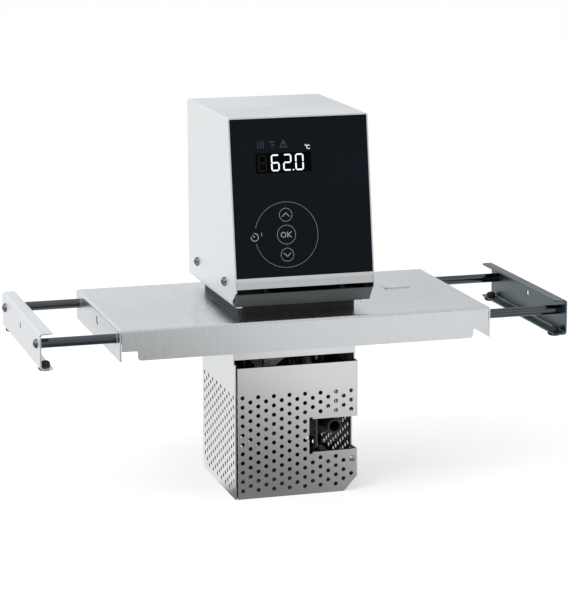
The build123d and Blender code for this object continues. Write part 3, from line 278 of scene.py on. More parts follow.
materials = {
    "brushed_sheet": steel_panel,
    "polished_sheet": steel_cage,
    "rod_steel": steel_rod,
    "screw_steel": steel_screw,
    "black_glass": glass_front,
    "black_plastic": plastic_black,
    "grey_plastic": plastic_grey,
    "gloss_black": plastic_gloss,
    "rubber_black": rubber,
    "board": board_green,
    "display": display_dark,
    "motor_steel": motor_paint,
    "aluminium": aluminium,
    "winding": winding,
    "float_plastic": float_pale,
    "heater_steel": steel_heater,
}
own_material = {
    "head_hood": steel_hood,
    "rear_panel": steel_hood,
    # The head floor takes the steel with painted shade.
    "head_floor": steel_lip_painted_shade,
    "head_spacer": spacer_black_painted_shade,
    # The rod bushings take the pale float plastic; their pale colour is partly a painted highlight
    # for the light ring where the rods meet the end walls.
    "rod_bushings": float_pale,
    # The pump frame inside the cage takes the steel with painted shade.
    "pump_frame": steel_inner_painted_shade,
    "left_bracket": steel_left,
    # The right bracket takes the copy of its steel with painted shade.
    "right_bracket": steel_bracket_painted_shade,
}
slot_of = {part["node"]: part["material_slot"] for part in frame["record"]["subparts"]}
for name, obj in nodes.items():
    chosen = own_material.get(name, materials[slot_of[name]])
    obj.data.materials.clear()
    obj.data.materials.append(chosen)


# Pieces made here: points closer than these, in metres and flat millimetres, count as one
SAME_POINT = 1e-7
SAME_FLAT_POINT = 1e-6
WHOLE_HULL = 0
SMOOTH_SCREW, SMOOTH_FOOT = 35, 40


def add_piece(name, verts, faces, material, body, slot, replaced=(), smooth=0.0):
    """A mesh piece in millimetres, with its body, its slot, which is not used, and the nodes that
    it stands for.

    Edges sharper than the smooth angle, in degrees, stay sharp, and with none all faces are flat.
    """
    mesh = bpy.data.meshes.new(name)
    mesh.from_pydata([Vector(v) * MM for v in verts], [], faces)
    mesh.materials.append(material)
    work = bmesh.new()
    work.from_mesh(mesh)
    bmesh.ops.remove_doubles(work, verts=work.verts, dist=SAME_POINT)
    bmesh.ops.recalc_face_normals(work, faces=work.faces)
    work.to_mesh(mesh)
    work.free()
    if smooth:
        mesh.shade_smooth()
        mesh.set_sharp_from_angle(angle=math.radians(smooth))
    piece = bpy.data.objects.new(name, mesh)
    bpy.context.scene.collection.objects.link(piece)
    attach(piece, body)
    if replaced:
        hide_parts(*replaced)
    return piece


def inside(point, polygon):
    """Whether a flat point lies in a polygon."""
    x, y = point
    hit = False
    for (x0, y0), (x1, y1) in zip(polygon, polygon[1:] + polygon[:1]):
        if (y0 > y) != (y1 > y) and x < (x1 - x0) * (y - y0) / (y1 - y0) + x0:
            hit = not hit
    return hit


def circle(x, y, radius, sides=16):
    """Points of a circle."""
    turn = 2 * math.pi / sides
    return [
        (x + radius * math.cos(i * turn), y + radius * math.sin(i * turn)) for i in range(sides)
    ]


def sheet_mesh(border, holes, radius, cuts, folds, fold, thickness):
    """A sheet drawn flat with round holes and cut-outs, then folded and given its thickness."""
    points = []
    edges = []

    def loop(corners):
        start = len(points)
        points.extend(Vector(corner) for corner in corners)
        count = len(corners)
        edges.extend((start + i, start + (i + 1) % count) for i in range(count))

    loop(border)
    for cut in cuts:
        loop(cut)
    for x, y in holes:
        loop(circle(x, y, radius))
    low = min(y for _, y in border) - 1
    high = max(y for _, y in border) + 1
    for u in folds:
        points.extend((Vector((u, low)), Vector((u, high))))
        edges.append((len(points) - 2, len(points) - 1))
    flat, _, triangles, _, _, _ = delaunay_2d_cdt(points, edges, [], WHOLE_HULL, SAME_FLAT_POINT)
    kept = []
    for triangle in triangles:
        middle = sum((flat[i] for i in triangle), Vector((0, 0))) / 3
        if not inside(middle, border) or any(inside(middle, cut) for cut in cuts):
            continue
        in_hole = any(
            abs(middle.x - x) < radius and math.hypot(middle.x - x, middle.y - y) < radius
            for x, y in holes
        )
        if in_hole:
            continue
        kept.append(tuple(triangle))
    used = sorted({i for triangle in kept for i in triangle})
    place = {old: new for new, old in enumerate(used)}
    kept = [tuple(place[i] for i in triangle) for triangle in kept]
    verts = [fold(*flat[i], 0) for i in used] + [fold(*flat[i], thickness) for i in used]
    count = len(used)
    sides = {}
    for triangle in kept:
        for a, b in zip(triangle, triangle[1:] + triangle[:1]):
            sides[(a, b)] = True
    faces = kept + [tuple(i + count for i in reversed(triangle)) for triangle in kept]
    for a, b in sides:
        if (b, a) not in sides:
            faces.append((b, a, a + count, b + count))
    return verts, faces


def joined(parts):
    """Several meshes as one list of points and faces."""
    verts = []
    faces = []
    for part_verts, part_faces in parts:
        start = len(verts)
        verts.extend(part_verts)
        faces.extend(tuple(i + start for i in face) for face in part_faces)
    return verts, faces


def box_mesh(x0, x1, y0, y1, z0, z1):
    """The points and faces of a box, for a small folded edge or tab."""
    verts = [(x, y, z) for x in (x0, x1) for y in (y0, y1) for z in (z0, z1)]
    faces = [(0, 1, 3, 2), (4, 6, 7, 5), (0, 4, 5, 1), (2, 3, 7, 6), (0, 2, 6, 4), (1, 5, 7, 3)]
    return verts, faces


# Perforated cage: sizes as in the model, a wider gap at the left, and round holes on all walls.
# A bevel and a relief cut have a width and a height, and a keep is metal left around a form.
CAGE_LEFT, CAGE_RIGHT = -54.25, 54.25
CAGE_FRONT, CAGE_BACK = -54.75, 54.75
CAGE_TOP, BRIDGE_UNDER = 113.7, 158.8
SHEET = 1.0
BEND = 2.0
COVER_LEFT = -51.9
COVER_BACK = 53.55
COLLAR_FRONT, COLLAR_RIGHT = -49.75, 53.25
COLLAR_STEP, COLLAR_BOTTOM, COLLAR_FOOT = 117.0, 120.0, 106.7
RIGHT_BEVEL = (12.5, 13.6)
BACK_BEVEL = (7.8, 10.0)
HOLE_RADIUS = 1.85
COLUMN_STEP, ROW_STEP = 6.85, 8.1
COLUMNS, ROWS = 15, 11
FIRST_ROW = 7.2
BACK_TOP_ROW = 80.0
FRONT_START, SIDE_START = -47.65, -49.35
WINDOW_LEFT, WINDOW_LOW, WINDOW_HIGH = 10.9, 36.6, 65.6
WINDOW_WRAP = 16.8
RELIEF = (3.0, 1.5)
NOTCH_Z, NOTCH_RADIUS = 50.0, 1.8
SCREW_X, SCREW_Z = 49.25, 28.2
HOLE_KEEP = 1.0
BEVEL_KEEP = 5.0
SCREW_KEEP = 6.0
FOLD_STEPS = 6
LIP, LIP_END = 3.0, 4.0
TAB_WIDTH, TAB_HALF = 10.0, 6.0
FOLD_REACH = 0.1
BACK_CLEARANCE = 1.5
BACK_LOW_KEEP = 4.0
# Faces this far inside the cage's walls get the painted shade.
INNER_DEPTH = 0.9 * SHEET


def rectangle(x0, x1, y0, y1):
    """Corners of a rectangle."""
    return [(x0, y0), (x1, y0), (x1, y1), (x0, y1)]


def hole_places(start):
    """Staggered hole places as (distance along the wall, height)."""
    for column in range(COLUMNS):
        for row in range(ROWS - column % 2):
            yield start + column * COLUMN_STEP, FIRST_ROW + (row + column % 2 / 2) * ROW_STEP


def clear_of_bevel(along, z, edge, bevel):
    """Whether a hole stays off a bevelled lower corner."""
    across, rise = bevel
    off = (z * across - (along - (edge - across)) * rise) / math.hypot(across, rise)
    return off > BEVEL_KEEP


def cage_cover_mesh():
    """Front, right wall and bottom of the cage."""
    start = CAGE_RIGHT - BEND
    arc = BEND * math.pi / 2

    def round_corner(u, z, depth):
        if u <= start:
            return (u, CAGE_FRONT + depth, z)
        if u >= start + arc:
            return (CAGE_RIGHT - depth, CAGE_FRONT + BEND + u - start - arc, z)
        angle = (u - start) / BEND
        radius = BEND - depth
        return (start + radius * math.sin(angle), CAGE_FRONT + BEND - radius * math.cos(angle), z)

    def along_side(y):
        return start + arc + y - CAGE_FRONT - BEND

    across, rise = RIGHT_BEVEL
    border = [
        (COVER_LEFT, 0), (CAGE_RIGHT - across, 0), (start, rise * (1 - BEND / across)),
        (start + arc, rise), (along_side(COVER_BACK), rise),
        (along_side(COVER_BACK), CAGE_TOP), (COVER_LEFT, CAGE_TOP),
    ]
    keep = HOLE_RADIUS + HOLE_KEEP
    holes = []
    for x, z in hole_places(FRONT_START):
        at_window = x > WINDOW_LEFT - keep and WINDOW_LOW - keep < z < WINDOW_HIGH + keep
        at_screw = math.hypot(x - SCREW_X, z - SCREW_Z) < SCREW_KEEP
        if clear_of_bevel(x, z, CAGE_RIGHT, RIGHT_BEVEL) and not at_window and not at_screw:
            holes.append((x, z))
    wrapped = CAGE_FRONT + WINDOW_WRAP + keep
    for y, z in hole_places(SIDE_START):
        at_window = y < wrapped and WINDOW_LOW - keep < z < WINDOW_HIGH + keep
        if z > rise + keep and not at_window:
            holes.append((along_side(y), z))
    end = along_side(CAGE_FRONT + WINDOW_WRAP)
    length, height = RELIEF
    cuts = [rectangle(WINDOW_LEFT, end, WINDOW_LOW, WINDOW_HIGH)]
    for x0, x1 in ((WINDOW_LEFT, WINDOW_LEFT + length), (end - length, end)):
        cuts.append(rectangle(x0, x1, WINDOW_LOW - height, WINDOW_LOW + FOLD_REACH))
        cuts.append(rectangle(x0, x1, WINDOW_HIGH - FOLD_REACH, WINDOW_HIGH + height))
    cuts.append(circle(WINDOW_LEFT, NOTCH_Z, NOTCH_RADIUS, 20))
    folds = [start + arc * step / FOLD_STEPS for step in range(FOLD_STEPS + 1)]
    walls = sheet_mesh(border, holes, HOLE_RADIUS, cuts, folds, round_corner, SHEET)

    slant = math.hypot(across, rise)
    foot = CAGE_RIGHT - across

    def under(u, y, depth):
        if u <= foot:
            return (u, y, depth)
        share = (u - foot) / slant
        x = foot + share * across - depth * rise / slant
        return (x, y, share * rise + depth * across / slant)

    back_across, back_rise = BACK_BEVEL
    low_back = CAGE_BACK - back_across - BACK_CLEARANCE
    front = CAGE_FRONT + SHEET
    wall = CAGE_RIGHT - SHEET
    border = [
        (COVER_LEFT, front), (foot, front), (foot + slant, front), (foot + slant, COVER_BACK),
        (foot + slant * back_rise / rise, COVER_BACK), (foot, low_back), (COVER_LEFT, low_back),
    ]
    bottom = sheet_mesh(border, [], 0, [], [foot], under, SHEET)
    lips = []
    lip_back = CAGE_FRONT + WINDOW_WRAP - LIP
    for z in (WINDOW_LOW - SHEET, WINDOW_HIGH):
        top = z + SHEET
        lips.append(box_mesh(WINDOW_LEFT + LIP, wall - LIP_END, front, front + LIP, z, top))
        lips.append(box_mesh(wall - LIP, wall, front + LIP_END, lip_back, z, top))
    tab = box_mesh(
        wall - TAB_WIDTH, wall, front, front + SHEET, SCREW_Z - TAB_HALF, SCREW_Z + TAB_HALF
    )
    return joined([walls, bottom, tab, *lips])


def cage_shell_mesh():
    """Left wall, back wall and collar of the cage."""
    across, rise = BACK_BEVEL
    border = [
        (CAGE_FRONT, 0), (CAGE_BACK - across, 0), (CAGE_BACK, rise), (CAGE_BACK, BRIDGE_UNDER),
        (COLLAR_FRONT, BRIDGE_UNDER), (COLLAR_FRONT, COLLAR_STEP), (CAGE_FRONT, COLLAR_STEP),
    ]
    holes = [
        (y, z) for y, z in hole_places(SIDE_START)
        if clear_of_bevel(y, z, CAGE_BACK, BACK_BEVEL)
    ]

    def left_wall(y, z, depth):
        return (CAGE_LEFT + depth, y, z)

    left = sheet_mesh(border, holes, HOLE_RADIUS, [], [], left_wall, SHEET)
    slant = math.hypot(across, rise)
    right_across, right_rise = RIGHT_BEVEL
    inner_left = CAGE_LEFT + SHEET

    def back_wall(v, x, depth):
        if v >= 0:
            return (x, CAGE_BACK - depth, rise + v)
        share = 1 + v / slant
        y = CAGE_BACK - across + share * across - depth * rise / slant
        return (x, y, share * rise + depth * across / slant)

    border = [
        (-slant, inner_left), (-slant, CAGE_RIGHT - right_across), (right_rise - rise, CAGE_RIGHT),
        (COLLAR_BOTTOM - rise, CAGE_RIGHT), (COLLAR_BOTTOM - rise, COLLAR_RIGHT),
        (BRIDGE_UNDER - rise, COLLAR_RIGHT), (BRIDGE_UNDER - rise, inner_left),
    ]
    holes = [
        (z - rise, x) for x, z in hole_places(FRONT_START)
        if rise + BACK_LOW_KEEP < z < BACK_TOP_ROW
        and clear_of_bevel(x, z, CAGE_RIGHT, RIGHT_BEVEL)
    ]
    back = sheet_mesh(border, holes, HOLE_RADIUS, [], [0.0], back_wall, SHEET)
    inner_front = COLLAR_FRONT + SHEET
    collar = [
        box_mesh(inner_left, COLLAR_RIGHT, COLLAR_FRONT, inner_front, COLLAR_BOTTOM, BRIDGE_UNDER),
        box_mesh(
            COLLAR_RIGHT - SHEET, COLLAR_RIGHT, inner_front, CAGE_BACK - SHEET,
            COLLAR_FOOT, BRIDGE_UNDER,
        ),
    ]
    return joined([left, back, *collar])


def add_cage(name, mesh, node):
    """A cage sheet, bright outside, with painted shade on the faces inside the cage."""
    piece = add_piece(name, *mesh, steel_cage, "circulator", "polished_sheet", (node,))
    piece.data.materials.append(steel_inner_painted_shade)
    # Faces inside the cage get the steel with painted shade.
    for face in piece.data.polygons:
        x, y, z = face.center / MM
        across = CAGE_LEFT + INNER_DEPTH < x < CAGE_RIGHT - INNER_DEPTH
        along = CAGE_FRONT + INNER_DEPTH < y < CAGE_BACK - INNER_DEPTH
        if across and along and INNER_DEPTH < z < COLLAR_STEP:
            face.material_index = 1


add_cage("cage_cover_sheet", cage_cover_mesh(), "cage_cover")
add_cage("cage_shell_sheet", cage_shell_mesh(), "cage_shell")


# Turned fasteners and feet: a screw's size is its head, its shank and its length
TURNED_SIDES = 40
CROSS_ARM_TURN, CROSS_ARM_HALF, CROSS_ROOT = 0.24, 0.235, 0.34
HEAD_RISE, HEAD_EDGE = 0.34, 0.25
DOME_ANGLES = (0, 0.3, 0.6, 0.9, 1.15)
HEXAGON_SHARE, CROSS_SHARE = 0.36, 0.5
RECESS_TOP, RECESS_DEPTH, RECESS_TAPER = 0.985, 0.55, 0.96
RECESS_TIP, TIP_SINK = 0.05, 0.2
SHANK_CHAMFER = 0.3
HOOD_SCREW = (8.0, 4.0, 6.0)
ROD_SCREW = (8.0, 4.0, 11.0)
CROSS_SCREW = (5.6, 3.0, 5.0)
HEAD_HALF = 60.0
HOOD_SCREW_Y, HOOD_SCREW_Z = 45.6, 187.3
REAR_SCREW_X, REAR_FACE, REAR_SCREW_Z = 54.9, 76.0, 199.0
CAGE_SIDE_SCREW_Z = 110.2
ROD_Y = (-70.0, 75.0)
ROD_Z = 150.5
WEB_X = {"left": -224.0, "right": 231.5}
FOOT_Y = (-73.0, 78.0)
FOOT_Z = 131.2
FOOT_IN = 6.3
FOOT_PROFILE = (
    (3.2, -2.6), (4.6, -2.3), (5.6, -1.5), (6.0, -0.5), (5.9, 0), (2.8, 0), (2.8, 1.2),
    (4.0, 1.2), (4.0, 2.6), (3.8, 3.8), (3.2, 4.8), (2.2, 5.3), (0.9, 5.4),
)


def hexagon_recess(angle):
    """Radius of a hexagon socket of unit half width, at an angle."""
    return 1 / math.cos((angle + math.pi / 6) % (math.pi / 3) - math.pi / 6)


def cross_recess(angle):
    """Radius of a cross recess of unit reach, at an angle."""
    turn = abs((angle + math.pi / 4) % (math.pi / 2) - math.pi / 4)
    if turn < CROSS_ARM_TURN:
        return 1.0
    return max(CROSS_ROOT, CROSS_ARM_HALF / math.sin(turn))


def turned_mesh(profile, seat, along):
    """A form turned about an axis, from points of a radius, a height and maybe a radius rule."""
    axis = Vector(along).normalized()
    side = axis.orthogonal().normalized()
    other = axis.cross(side)
    verts = []
    faces = []
    for radius, height, *rule in profile:
        for i in range(TURNED_SIDES):
            angle = 2 * math.pi * i / TURNED_SIDES
            reach = radius * (rule[0](angle) if rule else 1)
            spot = Vector(seat) + axis * height + side * (reach * math.cos(angle))
            verts.append(tuple(spot + other * (reach * math.sin(angle))))
    last = (len(profile) - 1) * TURNED_SIDES
    for low in range(0, last, TURNED_SIDES):
        high = low + TURNED_SIDES
        for i in range(TURNED_SIDES):
            j = (i + 1) % TURNED_SIDES
            faces.append((low + i, low + j, high + j, high + i))
    faces.append(tuple(range(TURNED_SIDES)))
    faces.append(tuple(last + i for i in reversed(range(TURNED_SIDES))))
    return verts, faces


def screw_profile(head, shank, length, recess):
    """A domed head with a recess, on a plain shank."""
    rim = head / 2
    rise = head * HEAD_RISE
    dome = [(rim * math.cos(a), HEAD_EDGE + (rise - HEAD_EDGE) * math.sin(a)) for a in DOME_ANGLES]
    socket = rim * (HEXAGON_SHARE if recess is hexagon_recess else CROSS_SHARE)
    floor = rise - rise * RECESS_DEPTH
    return [
        (shank / 2 - SHANK_CHAMFER, -length), (shank / 2, SHANK_CHAMFER - length), (shank / 2, 0),
        (rim, 0), *dome, (socket, rise * RECESS_TOP, recess),
        (socket * RECESS_TAPER, floor, recess), (RECESS_TIP, floor - TIP_SINK),
    ]


def add_screws(name, places, along_of, size, recess, body, node, material):
    """Like screws as one piece."""
    profile = screw_profile(*size, recess)
    verts, faces = joined([turned_mesh(profile, place, along_of(place)) for place in places])
    add_piece(name, verts, faces, material, body, "screw_steel", (node,), SMOOTH_SCREW)


def outwards_x(place):
    """The way out of the side that a place is on."""
    return (math.copysign(1, place[0]), 0, 0)


def backwards(_):
    """The way out of the head's back."""
    return (0, 1, 0)


steel_dark_screw = plain_metal("dark_screw", (0.16, 0.165, 0.18), 0.3, 200.0)
steel_pale_screw = plain_metal("pale_screw", (0.42, 0.42, 0.44), 0.26, 200.0)
hood_places = [
    (side * HEAD_HALF, y, HOOD_SCREW_Z) for side in (-1, 1) for y in (-HOOD_SCREW_Y, HOOD_SCREW_Y)
]
add_screws(
    "hood_button_screws", hood_places, outwards_x, HOOD_SCREW, hexagon_recess, "circulator",
    "hood_screws", steel_dark_screw,
)
rear_places = [(side * REAR_SCREW_X, REAR_FACE, REAR_SCREW_Z) for side in (-1, 1)]
add_screws(
    "rear_button_screws", rear_places, backwards, CROSS_SCREW, cross_recess, "circulator",
    "rear_screws", steel_pale_screw,
)
cage_profile = screw_profile(*CROSS_SCREW, cross_recess)
cage_screws = [
    turned_mesh(cage_profile, (SCREW_X, CAGE_FRONT, SCREW_Z), (0, -1, 0)),
    turned_mesh(cage_profile, (CAGE_RIGHT, 0, CAGE_SIDE_SCREW_Z), (1, 0, 0)),
]
add_piece(
    "cage_cross_screws", *joined(cage_screws), steel_pale_screw, "circulator", "screw_steel",
    ("cage_screws",), SMOOTH_SCREW,
)
for side, web in WEB_X.items():
    add_screws(
        f"{side}_rod_button_screws", [(web, y, ROD_Z) for y in ROD_Y], outwards_x, ROD_SCREW,
        hexagon_recess, f"{side}_extension", f"{side}_bracket_screws", steel_dark_screw,
    )
    foot_x = web - math.copysign(FOOT_IN, web)
    feet = [turned_mesh(FOOT_PROFILE, (foot_x, y, FOOT_Z), (0, 0, 1)) for y in FOOT_Y]
    add_piece(
        f"{side}_rubber_feet", *joined(feet), rubber, f"{side}_extension", "rubber_black",
        (f"{side}_feet",), SMOOTH_FOOT,
    )


# Signs on the glass: s runs down the slope from the head's top front edge, n points out of it
SLANT = math.radians(8.75)
HEAD_TOP_Y, HEAD_TOP_Z = -59.5, 325.5
GLASS_N = -1.4
SIGN_HEIGHT = 0.06
MITRE_LIMIT = 0.4
DISPLAY_WINDOW = (-37.7, 9.9, 29.7, 46.2)
WINDOW_SINK = -0.03
SEGMENTS = {"0": "abcdef", "2": "abged", "6": "acdefg", "8": "abcdefg"}
DIGIT_WIDTH, DIGIT_HEIGHT, DIGIT_LINE = 7.3, 13.8, 1.25
SEGMENT_GAP = 0.16
DIGIT_TOP = 31.0
DIGIT_LEFT = {"8": -35.6, "6": -24.6, "2": -14.3, "0": -3.9}
POINT_X, POINT_DOWN, POINT_RADIUS = -5.6, 13.2, 0.6
DEGREE = (5.7, 24.4, 0.6)
CELSIUS = (8.0, 26.0, 1.5, 40, 320, 24)
ICON_S, ICON_HALF = 22.7, 3.0
WAVE_X = (-35.2, -32.9, -30.6)
WAVE_STEPS, WAVE_SWING, WAVE_TURN, WAVE_LINE = 12, 0.5, 1.05, 0.34
FLOAT_X, WARNING_X = -23.1, -13.4
FINE, ICON_LINE, KEY_LINE, LETTER_LINE = 0.28, 0.45, 0.55, 0.6
RING_X, RING_S, RING_RADIUS = -14.1, 97.3, 27.0
RING_END, RING_LINE = 166, 0.2
OK_RADIUS, KEY_RADIUS = 7.8, 5.4
UP_KEY_S, DOWN_KEY_S = 80.9, 113.8
ARROW_HALF, ARROW_RISE = 3.0, 1.5
CLOCK_X, CLOCK_S, CLOCK_RADIUS = -41.3, 98.2, 3.1


def on_glass(x, s, n):
    """A place on the glass, n above its face."""
    n += GLASS_N
    return (
        x, HEAD_TOP_Y - s * math.sin(SLANT) - n * math.cos(SLANT),
        HEAD_TOP_Z - s * math.cos(SLANT) + n * math.sin(SLANT),
    )


def plate(points, base=0.0):
    """A thin plate on the glass with the given outline."""
    count = len(points)
    verts = [on_glass(x, s, n) for n in (base, base + SIGN_HEIGHT) for x, s in points]
    faces = [tuple(range(count, 2 * count)), tuple(reversed(range(count)))]
    faces += [(i, (i + 1) % count, (i + 1) % count + count, i + count) for i in range(count)]
    return verts, faces


def stroke(points, width, closed=False):
    """A line of even width with mitred corners."""
    flat = [Vector(point) for point in points]
    count = len(flat)
    left = []
    right = []
    for i, point in enumerate(flat):
        before = flat[i - 1] if i or closed else None
        after = flat[(i + 1) % count] if i < count - 1 or closed else None
        pairs = ((before, point), (point, after))
        ways = [(b - a).normalized() for a, b in pairs if a is not None and b is not None]
        way = sum(ways, Vector((0, 0))).normalized()
        across = Vector((-way.y, way.x))
        turned_way = Vector((-ways[0].y, ways[0].x))
        reach = width / 2 / max(MITRE_LIMIT, abs(across.dot(turned_way)))
        left.append(tuple(point + across * reach))
        right.append(tuple(point - across * reach))
    pieces = []
    for i in range(count if closed else count - 1):
        j = (i + 1) % count
        pieces.append(plate([left[i], left[j], right[j], right[i]]))
    return joined(pieces)


def arc_points(x, s, radius, start=0.0, end=360.0, steps=40):
    """Points on a circle between two angles in degrees."""
    count = steps if end - start >= 360 else steps + 1
    angles = [math.radians(start + (end - start) * i / steps) for i in range(count)]
    return [(x + radius * math.cos(a), s + radius * math.sin(a)) for a in angles]


def digit(symbol):
    """A seven-segment digit at its own place in the display."""
    half = DIGIT_HEIGHT / 2
    nib = DIGIT_LINE / 2
    far = DIGIT_WIDTH - DIGIT_LINE
    level = {"a": 0, "g": half - nib, "d": DIGIT_HEIGHT - DIGIT_LINE}
    upright = {"f": (0, 0), "b": (far, 0), "e": (0, half), "c": (far, half)}
    shapes = []
    for name in SEGMENTS[symbol]:
        if name in level:
            mid = level[name] + nib
            start = nib + SEGMENT_GAP
            end = DIGIT_WIDTH - nib - SEGMENT_GAP
            corners = [
                (start, mid), (start + nib, mid - nib), (end - nib, mid - nib),
                (end, mid), (end - nib, mid + nib), (start + nib, mid + nib),
            ]
        else:
            left, top = upright[name]
            mid = left + nib
            start = top + (nib if top == 0 else 0) + SEGMENT_GAP
            end = top + half - (0 if top == 0 else nib) - SEGMENT_GAP
            corners = [
                (mid, start), (mid + nib, start + nib), (mid + nib, end - nib),
                (mid, end), (mid - nib, end - nib), (mid - nib, start + nib),
            ]
        shapes.append(plate([(DIGIT_LEFT[symbol] + a, DIGIT_TOP + b) for a, b in corners]))
    return joined(shapes)


def ring_line(x, s, radius, steps, width):
    """A circle drawn as a line."""
    return stroke(arc_points(x, s, radius, steps=steps), width, True)


def arrow(s, rise):
    """The arrow head of a key, which points up with a negative rise."""
    low = s - rise
    return stroke(
        [(RING_X - ARROW_HALF, low), (RING_X, s + rise), (RING_X + ARROW_HALF, low)], KEY_LINE
    )


def wave(x):
    """One of the heating icon's upright waves."""
    points = []
    for step in range(WAVE_STEPS + 1):
        sway = WAVE_SWING * math.sin(step * WAVE_TURN)
        points.append((x + sway, ICON_S - ICON_HALF + step * 2 * ICON_HALF / WAVE_STEPS))
    return stroke(points, WAVE_LINE)


def add_signs(name, shapes, material):
    """Signs of one material as one piece."""
    add_piece(name, *joined(shapes), material, "circulator", "display")


sign_white = lit_print("sign_white", (0.80, 0.88, 0.92), 0.5)
sign_print = lit_print("sign_print", (0.34, 0.38, 0.40), 0.1)
sign_grey = lit_print("sign_grey", (0.085, 0.09, 0.095), 0.03)
sign_faint = lit_print("sign_faint", (0.012, 0.013, 0.008), 0.01)
window_black = lit_print("window_black", (0.0006, 0.0008, 0.0012), 0.0)
add_signs("display_window", [plate(rectangle(*DISPLAY_WINDOW), WINDOW_SINK)], window_black)
add_signs("display_digits", [
    digit("6"), digit("2"), digit("0"),
    plate(circle(POINT_X, DIGIT_TOP + POINT_DOWN, POINT_RADIUS, 20)),
    ring_line(*DEGREE, 20, 0.3),
    stroke(arc_points(*CELSIUS), 0.5),
], sign_white)
add_signs("display_unlit_digit", [digit("8")], sign_faint)
add_signs("display_icons", [
    *(wave(x) for x in WAVE_X),
    stroke([(FLOAT_X - 2.7, ICON_S - 2.4), (FLOAT_X + 2.7, ICON_S - 2.4)], ICON_LINE),
    stroke([(FLOAT_X, ICON_S - 2.2), (FLOAT_X, ICON_S + 3)], ICON_LINE),
    stroke([(FLOAT_X + 0.3, ICON_S + 0.2), (FLOAT_X + 2.1, ICON_S + 0.2)], ICON_LINE),
    stroke([
        (WARNING_X, ICON_S - 3.2), (WARNING_X + 3.1, ICON_S + 2.6), (WARNING_X - 3.1, ICON_S + 2.6),
    ], 0.5, True),
    stroke([(WARNING_X, ICON_S - 1.2), (WARNING_X, ICON_S + 1.0)], LETTER_LINE),
], sign_grey)
add_signs("touch_signs", [
    stroke(arc_points(RING_X, RING_S, RING_RADIUS, -RING_END, RING_END, 90), RING_LINE),
    ring_line(RING_X, RING_S, OK_RADIUS, 40, FINE),
    ring_line(RING_X, UP_KEY_S, KEY_RADIUS, 36, FINE),
    ring_line(RING_X, DOWN_KEY_S, KEY_RADIUS, 36, FINE),
    arrow(UP_KEY_S, -ARROW_RISE),
    arrow(DOWN_KEY_S, ARROW_RISE),
    # The letters OK
    ring_line(RING_X - 2.6, RING_S, 2.0, 24, LETTER_LINE),
    stroke([(RING_X + 1.0, RING_S - 2.4), (RING_X + 1.0, RING_S + 2.4)], LETTER_LINE),
    stroke([
        (RING_X + 4.3, RING_S - 2.4), (RING_X + 1.4, RING_S), (RING_X + 4.4, RING_S + 2.4),
    ], LETTER_LINE),
    # The timer's clock and its small figure
    stroke(arc_points(CLOCK_X, CLOCK_S, CLOCK_RADIUS, -100, 190, 40), LETTER_LINE),
    stroke([(CLOCK_X - 1.9, CLOCK_S - 1.8), (CLOCK_X, CLOCK_S)], LETTER_LINE),
    stroke([(CLOCK_X + 5.3, 95.6), (CLOCK_X + 6.0, 95.0), (CLOCK_X + 6.0, 97.6)], 0.36),
], sign_print)


# Studio
FLOOR_HALF = 12.0


def wired(tree, kind, *values):
    """A node whose first inputs take numbers or sockets in turn, and None leaves an input."""
    made = tree.nodes.new(kind)
    for socket, value in zip(made.inputs, values):
        if isinstance(value, (int, float)):
            socket.default_value = value
        elif value is not None:
            tree.links.new(value, socket)
    return made


def graded(tree, value, start, end, low, high):
    """A value that goes smoothly from low to high between start and end."""
    made = wired(tree, "ShaderNodeMapRange", value, start, end, low, high)
    made.interpolation_type = "SMOOTHSTEP"
    return made.outputs["Result"]


def calculated(tree, operation, a, b):
    """Two values put through one operation."""
    made = wired(tree, "ShaderNodeMath", a, b)
    made.operation = operation
    return made.outputs[0]


def studio_world():
    """White to the camera, and a soft studio with a bright left side for light and reflections."""
    world = bpy.data.worlds.new("studio")
    bpy.context.scene.world = world
    world.use_nodes = True
    tree = world.node_tree
    tree.nodes.clear()
    coords = wired(tree, "ShaderNodeTexCoord")
    split = wired(tree, "ShaderNodeSeparateXYZ", coords.outputs["Generated"])
    front = graded(tree, split.outputs["Y"], -1.0, -0.15, 0.72, 1.0)
    side = graded(tree, split.outputs["X"], -0.1, 0.8, 1.0, 0.45)
    room = wired(tree, "ShaderNodeBackground", None, calculated(tree, "MULTIPLY", front, side))
    room.inputs["Color"].default_value = (0.97, 0.985, 1.0, 1)
    seen = wired(tree, "ShaderNodeBackground")
    seen.inputs["Color"].default_value = (1, 1, 1, 1)
    path = wired(tree, "ShaderNodeLightPath")
    mix = wired(
        tree, "ShaderNodeMixShader", path.outputs["Is Camera Ray"], room.outputs[0], seen.outputs[0]
    )
    wired(tree, "ShaderNodeOutputWorld", mix.outputs[0])


